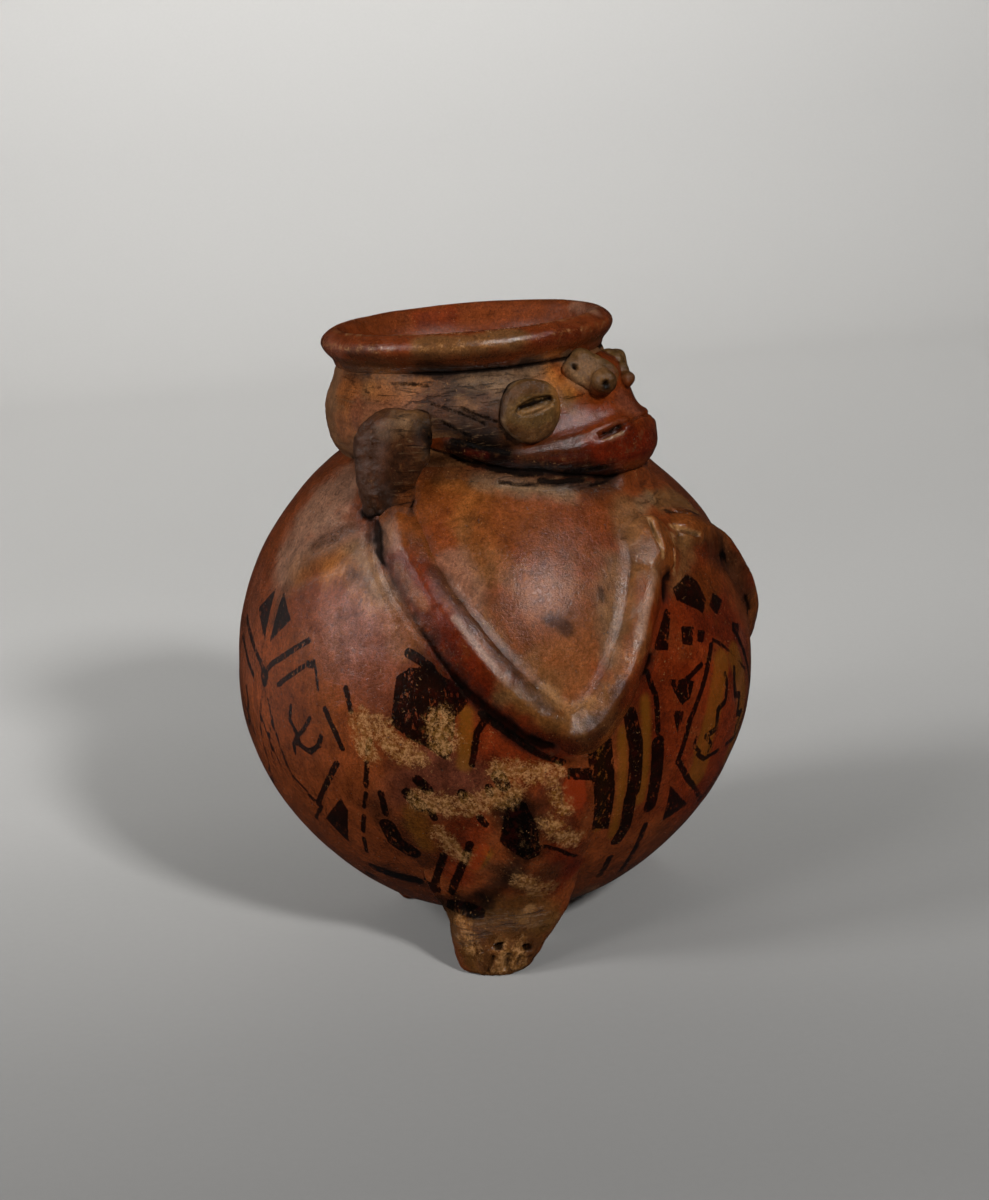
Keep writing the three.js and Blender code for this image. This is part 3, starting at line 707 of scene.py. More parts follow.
# Nose rolls: a bar of clay on the snout with a ball at its tip

# Pixels where the middle of each roll lies on the face, its lift, half length, half width, half thickness
NOSE_BARS = {"right": ((579, 366), (602, 379), 1.0, 6.2, 4.4, 2.7), "left": None}
NOSE_BALLS = {
    # azimuth, reach, rise over the neck's seat, radius
    "right": [(13.8, 41.0, 16.2, 2.8)],
    "left": [(-8, 34.0, 19.4, 2.0), (-7.5, 36.0, 18.2, 2.1), (-5, 38.0, 16.4, 1.8), (-3, 39.8, 14.6, 1.9)],
}
NOSTRILS = [((606, 384), 1.2, 1.7), ((575, 367), 0.9, 1.2)]
NOSTRIL_LIP = (0.15, 0.1)
NOSE_VOXEL = 0.36
NOSE_SMOOTHING = 4
NOSE_GRAIN = [(3.0, 0.32), (1.3, 0.14)]
BALL_SHEET = (32, 20)
BAR_SHEET = (40, 28)
BAR_SQUARENESS = 0.55
BAR_SINK = 0.4


def ball_of(centre, radius):
    def place(along, turn):
        angle = 2 * np.pi * turn
        up = np.pi * (along - 0.5)
        round_ = np.stack([np.cos(up) * np.cos(angle), np.cos(up) * np.sin(angle), np.sin(up)], -1)
        return centre + radius * round_
    return place


def bar_of(ends, lift, half_length, half_width, half_thick):
    """A bar of clay with rounded edges, lying along two places on the face."""
    run = unit(ends[1] - ends[0])
    out = unit((ends[0] + ends[1]) / 2 * (1, 1, 0))
    out = unit(out - run * (out @ run))
    across = np.cross(run, out)
    centre = (ends[0] + ends[1]) / 2 + out * (lift - half_thick * BAR_SINK)

    def place(along, turn):
        angle = 2 * np.pi * turn
        up = np.pi * (along - 0.5)
        boxy = [np.sign(part) * np.abs(part) ** BAR_SQUARENESS
                for part in (np.sin(up), np.cos(up) * np.cos(angle), np.cos(up) * np.sin(angle))]
        return (centre + half_length * boxy[0][:, None] * run + half_width * boxy[1][:, None] * across
                + half_thick * boxy[2][:, None] * out)
    return place


def nose(hand):
    balls = []
    for azimuth, reach, rise, radius in NOSE_BALLS[hand]:
        centre = on_axis(azimuth, reach, NECK_SEAT + rise)
        balls.append(from_ball(f"ball_{hand}_{len(balls)}", *BALL_SHEET, ball_of(centre, radius)))
    if NOSE_BARS[hand]:
        start, end, *sizes = NOSE_BARS[hand]
        ends = seen_line(surface(muzzle, neck, rim), [start, end])
        balls.append(from_ball(f"bar_{hand}", *BAR_SHEET, bar_of(ends, *sizes)))
    piece = remesh(join(f"clay_nose_{hand}", *balls), NOSE_VOXEL, NOSE_SMOOTHING)
    return roughen(piece, *NOSE_GRAIN)


noses = {hand: nose(hand) for hand in NOSE_BALLS}
for (x, y), half, depth in NOSTRILS:
    pit = seen(surface(noses["right"]), x, y)
    if pit is not None:
        slit(noses["right"], [pit], half, depth, *NOSTRIL_LIP)


# The mouth: an open slit on each side and a thin line between, as pixels, then half width, depth, lip, floor
MOUTH_CORNER = [(599, 436), (604, 434), (610, 431), (617, 428), (623, 424.5)]
MOUTH_FRONT = [(622, 425), (628, 422), (633, 420), (637, 417)]
OPEN_MOUTH = (1.05, 2.6, 0.3, 0.5)
CLOSED_MOUTH = (0.5, 0.7, 0.15)
MIRROR = (-1, 1, 1)


def open_mouth(piece):
    trees = surface(piece)
    corner, front = seen_line(trees, MOUTH_CORNER), seen_line(trees, MOUTH_FRONT)
    for line in (corner, corner * MIRROR):
        slit(piece, line, *OPEN_MOUTH)
    return slit(piece, np.concatenate([front, front[::-1] * MIRROR]), *CLOSED_MOUTH)


muzzle = open_mouth(muzzle)


# Lugs

LUG_COLUMNS = 96
LUG_ROWS = 120
LUG_SQUARENESS = 10
LUG_CROWN = 0.3
LUG_GRAIN = [(7, 0.7), (2.6, 0.42), (1.1, 0.2)]
# How far ahead and behind a strap looks for its own direction
LOOK = 0.01


def lug_points(side):
    def place(along, turn):
        rows = smooth_row(LUG_STATIONS, along)
        behind, ahead = (smooth_row(LUG_STATIONS, np.clip(along + step, 0, 1)) for step in (-LOOK, LOOK))
        lift = LUG_TOP_RISE - LUG_FOOT_RISE
        tangent = unit((ahead - behind)[:, :2] * (LUG_REACH, lift))
        end = np.sqrt(np.maximum(1 - (2 * along - 1) ** LUG_SQUARENESS, 0))
        angle = 2 * np.pi * turn
        across = LUG_WIDTH / 2 * rows[:, 2] * end * np.cos(angle)
        crown = 1 + LUG_CROWN * np.sin(angle) * (1 - np.abs(np.cos(angle)))
        thick = LUG_THICKNESS / 2 * rows[:, 3] * end * np.sin(angle) * crown
        reach = LUG_REACH * rows[:, 0] + tangent[:, 1] * thick
        height = NECK_SEAT + LUG_FOOT_RISE + lift * rows[:, 1] - tangent[:, 0] * thick
        azimuth = (LUG_AZIMUTH + LUG_LEAN * (along - 0.5)) * side
        return on_axis(azimuth, reach, height) + on_axis(azimuth + QUARTER_TURN, across, 0)
    return place


lugs = {hand: roughen(from_ball(f"clay_lug_{hand}", LUG_COLUMNS, LUG_ROWS, lug_points(side)), *LUG_GRAIN)
        for hand, side in SIDES.items()}


# Arms

BAND_COLUMNS = 72
BAND_ROWS = 200
TOP_SHARE = 0.72
SKIRT = 1.28
ARM_VOXEL = 0.45
ARM_SMOOTHING = 4
ARM_GRAIN = [(7, 0.24), (2.6, 0.1), (1.1, 0.04)]
ARM_SQUARENESS = 12
# The strap's top: how round and how ridged it is, and the share of the ridge
ARM_ROUNDNESS = 0.62
ARM_RIDGE_FALL = 1.15
ARM_RIDGE = 0.7
# How far the strap's edges and underside lie under the skin
ARM_EDGE_SINK = 0.45
ARM_EDGE_SHARPNESS = 8
# How far each band's ridge leans to one side
ARM_LEANS = {"right": (-0.25, -0.02, 0.0), "left": (0.25, 0.02, 0.0)}


def band_points(stations, lean):
    """A clay strap on the body: rounded over the top, thinning to nothing at its edges."""
    def place(along, turn):
        rows = smooth_row(stations, along)
        aim = unit(directions(rows[:, 0], rows[:, 1]))
        behind, ahead = (smooth_row(stations, np.clip(along + step, 0, 1)) for step in (-LOOK, LOOK))
        run = directions(ahead[:, 0], ahead[:, 1]) - directions(behind[:, 0], behind[:, 1])
        across = unit(np.cross(aim, run))
        end = np.sqrt(np.maximum(1 - (2 * along - 1) ** ARM_SQUARENESS, 0))
        over = turn < TOP_SHARE
        swing = np.where(over, np.cos(np.pi * turn / TOP_SHARE),
                         -np.cos(np.pi * (turn - TOP_SHARE) / (1 - TOP_SHARE)))
        leaning = np.clip(swing + lean * (1 - swing ** 2), -1, 1)
        rise = (0.5 + 0.5 * np.cos(np.pi * leaning)) ** ARM_ROUNDNESS
        rise = lerp(rise, 1 - np.abs(leaning) ** ARM_RIDGE_FALL, ARM_RIDGE)
        edges = ARM_EDGE_SINK * swing ** ARM_EDGE_SHARPNESS
        top = (ARM_PROUD * rows[:, 3] * rise - edges) * end - ARM_EDGE_SINK * (1 - end)
        floor = -ARM_SINK * np.sqrt(np.maximum(1 - swing ** 2, 0)) * end - ARM_EDGE_SINK
        shift = ARM_HALF_WIDTH * SKIRT * rows[:, 2] * end * swing / BODY_RADIUS
        spot = unit(aim * np.cos(shift)[:, None] + across * np.sin(shift)[:, None])
        lift = np.where(over, top, floor)
        return spot * (skin_reach(spot) + lift)[:, None] + (0, 0, BODY_CENTRE)
    return place


def arm(hand):
    parts = [from_ball(f"strap_{hand}_{i}", BAND_COLUMNS, BAND_ROWS, band_points(band, lean))
             for i, (band, lean) in enumerate(zip(ARM_BANDS[hand], ARM_LEANS[hand]))]
    piece = remesh(join(f"clay_arm_{hand}", *parts), ARM_VOXEL, ARM_SMOOTHING)
    return roughen(piece, *ARM_GRAIN)


arms = {hand: arm(hand) for hand in ARM_BANDS}
# Grooves between the fingers: half width, depth, lip, pixels of the photograph
FINGER_LINES = {
    "right": [(0.75, 1.1, 0.25, [(648, 517), (655, 533), (662, 550)]),
              (0.6, 1.0, 0.2, [(673, 547), (674, 560), (676, 573)])],
    "left": [(0.6, 1.3, 0.15, [(667, 510), (678, 512), (690, 514)]),
             (0.7, 0.9, 0.3, [(669, 528), (684, 531), (700, 536)])],
}
for hand, lines in FINGER_LINES.items():
    for half, depth, lip, line in lines:
        spots = seen_line(surface(arms[hand]), line)
        if len(spots) > 1:
            slit(arms[hand], spots, half, depth, lip)

# The fold of clay under the jaw: radius, height and pixels, and its wrinkles' stretch, size, shift and lift
FOLD = (4.5, 0.9, [(440, 462), (500, 472), (560, 478), (612, 474), (640, 470)])
WRINKLE_STRETCH = (0.25, 0.25, 1)
WRINKLE_NOISE = (1.7, 3.3)
WRINKLE_LIFT = 0.35
FOLD_CORE = 0.3


def crumple(piece, trees):
    """Wrinkles a band of the shoulder level with the neck."""
    points = corners(piece) / METRES
    radius, height, pixels = FOLD
    line = seen_line(trees, pixels)
    for spots in (line, line * MIRROR):
        away, _ = line_distance(points, spots)
        wrinkle = noise(points * WRINKLE_STRETCH, *WRINKLE_NOISE) + WRINKLE_LIFT
        points += outward(piece) * (height * wrinkle * ease(radius, radius * FOLD_CORE, away))[:, None]
    return move_corners(piece, points)


body = crumple(body, surface(body))


# Legs

LEG_COLUMNS = 150
LEG_ROWS = 200
LEG_BLEND = 6.0
LEG_SINK = 0.4
LEG_DEPTH = 2.2
# How high the thigh stands over the skin, by height share
THIGH_RISES = [
    (0.2, 6.4), (0.3, 6.0), (0.42, 5.0), (0.55, 3.9), (0.68, 2.9), (0.8, 1.9), (0.9, 0.9), (1.0, -0.3),
]
THIGH_SPREAD_BACK = 1.75
THIGH_SPREAD_FRONT = 1.12
THIGH_START = 11.0
THIGH_FULL = 25.0
# Where the thigh has turned to face its own way, and how sharply its front edge creases
THIGH_TURNED_BY = 0.75
THIGH_CREASE = 0.55
LEG_CROWDING = 1.15
LEG_SOLE_SHARE = 0.04
LEG_TOP_SHARE = 0.01
LEG_EDGE_SHARPNESS = 8
LEG_GRAIN = [(8, 0.5), (3, 0.22), (1.2, 0.07)]
GRAIN_FROM = 0.3
GRAIN_FULL = 3.0
TOE_TURN = 9.0
# Each toe's pit: place across the foot, height, half width, depth; and each groove: place, from, to
TOES = [(-3.4, 7.0, 1.15, 3.0), (3.4, 6.6, 1.15, 3.0)]
TOE_GROOVES = [(-3.4, 5.6, 0.2), (0.0, 7.5, 0.2), (3.4, 5.2, 0.2), (6.4, 4.4, 0.6)]
TOE_GROOVE_PRESS = (0.65, 0.9, 0.15)
TOE_GROOVE_STEPS = 5
TOE_PIT_LIP = 0.15
# The near foot's pits and grooves: pixels, half width, depth, lip
FOOT_PITS = [
    ([(498, 944), (499, 946)], 1.35, 3.2, 0.25), ([(523, 947), (529, 947)], 0.95, 2.8, 0.25),
    ([(481.5, 951.5)], 0.4, 0.6, 0.1), ([(494, 955), (490, 966), (487, 974)], 0.7, 0.8, 0.3),
    ([(509, 953), (507, 962), (505, 971)], 0.9, 1.0, 0.3),
    ([(520, 956), (517, 965), (514, 973)], 0.6, 0.7, 0.25), ([(530, 955), (527, 962)], 0.5, 0.6, 0.2),
]


def stub_lift(point):
    """How far over the body's skin a point of the foot stands, blending softly into it."""
    away = np.linalg.norm(point, axis=-1)
    over = away - skin_reach(point / away[:, None])
    blend = np.maximum(LEG_BLEND - np.abs(over), 0) / LEG_BLEND
    stub = np.maximum(over, 0) + blend ** 2 * LEG_BLEND / 4 - LEG_SINK * (over < -LEG_BLEND)
    return np.maximum(stub, -LEG_DEPTH)


def thigh_lift(up, angle, backward):
    """How far over the body's skin the thigh swells, soft towards the back and creased towards the front."""
    swing = np.cos(angle)
    rise = 0.5 + 0.5 * np.cos(np.pi * np.clip(swing, -1, 1))
    rise = rise ** np.where(backward, 1.0, THIGH_CREASE)
    swell = smooth_at(THIGH_RISES, up) * rise - LEG_SINK * np.abs(swing) ** LEG_EDGE_SHARPNESS
    return np.where(np.sin(angle) > 0, swell, -LEG_SINK - LEG_DEPTH * np.sqrt(1 - swing ** 2))


def leg_points(side, azimuth, thigh, inset, slim):
    """A stub foot that swells into the body's side."""
    def place(along, turn):
        rows = smooth_row(LEG_STATIONS, along ** LEG_CROWDING)
        up = np.clip(rows[:, 0], 0, 1)
        height = LEG_TOP * up
        moved = inset * (1 - up)
        outer, inner = FOOT_REACH * rows[:, 1] - moved, FOOT_REACH * rows[:, 2] - moved
        end = np.sqrt(np.clip(along / LEG_SOLE_SHARE, 0, 1)) * np.clip((1 - along) / LEG_TOP_SHARE, 0, 1)
        angle = 2 * np.pi * turn
        swing = np.cos(angle)
        backward = swing * side > 0
        thighness = ease(THIGH_START, THIGH_FULL, height)
        spread = lerp(1, np.where(backward, THIGH_SPREAD_BACK, THIGH_SPREAD_FRONT), thighness)
        facing = lerp(azimuth, thigh, np.minimum(up / THIGH_TURNED_BY, 1)) * side
        half = LEG_HALF_WIDTH * slim * rows[:, 3] * swing * end * spread
        aside = on_axis(facing + QUARTER_TURN, half, 0) - (0, 0, BODY_CENTRE)
        reach = (outer + inner) / 2 + (outer - inner) / 2 * np.sin(angle) * end
        stub = on_axis(facing, reach, height) + aside
        middle = np.sqrt(np.maximum(BODY_RADIUS ** 2 - (BODY_CENTRE - height) ** 2, 0))
        flat = on_axis(facing, middle, height) + aside
        aims = unit(lerp(stub, flat, thighness[:, None]))
        lift = lerp(stub_lift(stub), thigh_lift(up, angle, backward) * end, thighness)
        placed = aims * (skin_reach(aims) + lift)[:, None] + (0, 0, BODY_CENTRE)
        placed[:, 2] = np.maximum(placed[:, 2], 0)
        return placed
    return place


def toes(piece, azimuth, side):
    """Two pits and the grooves between the toes, pressed in from the front of the foot."""
    facing = (azimuth - TOE_TURN) * side
    out, across = on_axis(facing, 1, 0), on_axis(facing + QUARTER_TURN, 1, 0)
    trees = surface(piece)
    for seat, high, low in TOE_GROOVES:
        line = [touch(trees, out * RAY_START + across * seat * side + (0, 0, height), -out)
                for height in np.linspace(low, high, TOE_GROOVE_STEPS)]
        line = [spot for spot in line if spot is not None]
        if len(line) > 1:
            slit(piece, line, *TOE_GROOVE_PRESS)
    for seat, height, half, depth in TOES:
        pit = touch(trees, out * RAY_START + across * seat * side + (0, 0, height), -out)
        if pit is not None:
            slit(piece, [pit], half, depth, TOE_PIT_LIP)
    return piece


def seen_toes(piece):
    trees = surface(piece)
    for line, half, depth, lip in FOOT_PITS:
        spots = seen_line(trees, line)
        if len(spots):
            slit(piece, spots, half, depth, lip)
    return piece


def on_floor(piece):
    points = corners(piece) / METRES
    points[:, 2] = np.maximum(points[:, 2], 0)
    return move_corners(piece, points)


def proud_of_skin(piece):
    """0 where a piece meets the body's skin, 1 where it stands well clear of it."""
    away = corners(piece) / METRES - (0, 0, BODY_CENTRE)
    length = np.linalg.norm(away, axis=-1)
    return ease(GRAIN_FROM, GRAIN_FULL, length - skin_reach(away / length[:, None]))


# Each leg: side, azimuths of foot and thigh, how far the foot is set in, slimness
LEG_PLACES = {
    "right": (1, FOOT_RIGHT_AZIMUTH, THIGH_AZIMUTH, 0.0, 1.0),
    "left": (-1, FOOT_LEFT_AZIMUTH, THIGH_AZIMUTH, 0.0, 1.0),
    "rear": (1, REAR_AZIMUTH, REAR_AZIMUTH, REAR_FOOT_INSET + REAR_FOOT_HIDING, REAR_SLIMNESS),
}
legs = {}
for hand, placing in LEG_PLACES.items():
    leg = from_ball(f"clay_leg_{hand}", LEG_COLUMNS, LEG_ROWS, leg_points(*placing))
    leg = roughen(leg, *LEG_GRAIN, share=proud_of_skin(leg))
    side, azimuth = placing[:2]
    legs[hand] = on_floor(seen_toes(leg) if hand == "right" else toes(leg, azimuth, side))


# Lights: direction in the camera's own frame, distance, size in metres, power in watts
LIGHTS = {
    "key": ((0.36, 0.3, 0.88), 1.3, 0.14, 16.2),
    "side": ((-0.83, 0.38, 0.41), 1.3, 0.42, 8.2),
    "fore": ((-0.61, 0.22, 0.76), 1.3, 0.42, 5.2),
    "top": ((0.05, 0.97, -0.2), 1.5, 0.9, 0.3),
}
# Lamps that only shine back off the burnish, where the photograph's highlights lie
GLINTS = {
    "key_glint": ((0.38, 0.53, 0.76), 1.3, 0.18, 13.5),
    "side_glint": ((-0.83, 0.38, 0.41), 1.3, 0.22, 12.5),
    "left_sheen": ((-0.93, 0.1, -0.1), 1.3, 1.4, 1.7),
}
# The lamp that lights only the paper: metres behind the pot and up, where it aims, size, power
BACK_LAMP = ((0.8, 1.3), (1.8, 0.75), 0.8, 10.0)
WORLD_COLOUR = (0.95, 0.97, 1.0, 1.0)
WORLD_STRENGTH = 0.014
DARKEST_LIGHT = 0.36


def lamp_direction(aim):
    right, up, back = camera_axes()
    return unit(aim[0] * right + aim[1] * up + aim[2] * back)


def light_on(point):
    """How much light falls on a place on the body or the neck: 1 shows a colour as it is."""
    normal = unit(point - (0, 0, min(BODY_CENTRE, point[2])) if point[2] < NECK_SEAT else point * (1, 1, 0))
    normal = normal if normal @ camera_axes()[2] > 0 else -normal
    lamps = [power / (np.pi * away) ** 2 * max(normal @ lamp_direction(aim), 0)
             for aim, away, _, power in LIGHTS.values()]
    return np.clip(WORLD_STRENGTH + sum(lamps), DARKEST_LIGHT, 1.0)


# Colours, as they show in the photograph's light

TONES = {
    "brick": (99, 51, 28), "brick_dark": (62, 29, 17), "sienna": (98, 54, 28), "belly_tan": (111, 70, 44),
    "rust": (88, 36, 10), "rust_deep": (72, 28, 7), "orange": (126, 78, 42), "ochre": (96, 66, 34),
    "amber": (88, 52, 20), "mustard": (110, 74, 22), "dusty": (117, 88, 71), "drab": (108, 84, 62),
    "olive": (94, 68, 44), "olive_dark": (56, 38, 23), "umber": (62, 40, 25), "smoke": (46, 34, 23),
    "soot": (30, 21, 14), "tan": (140, 102, 66), "snout_red": (88, 42, 16), "jaw_red": (68, 25, 7),
    "wine": (60, 20, 11), "rim_red": (92, 46, 24), "char": (15, 9, 6), "neck_clay": (101, 69, 46),
    "eye_clay": (84, 62, 39), "foot_clay": (72, 50, 28), "mauve": (96, 58, 46), "deep": (46, 22, 9),
    "shadow_rust": (60, 25, 8),
}
# What the burnish throws back everywhere, taken off the tones, and the least that stays of each
SHINE = np.array([0.006, 0.008, 0.009])
LEAST_SHARE = 0.45


def tone(name):
    """A tone in linear light, by the curve that screens use."""
    share = np.array(TONES[name]) / 255
    light = np.where(share > 0.04045, ((share + 0.055) / 1.055) ** 2.4, share / 12.92)
    return np.maximum(light - SHINE, light * LEAST_SHARE)


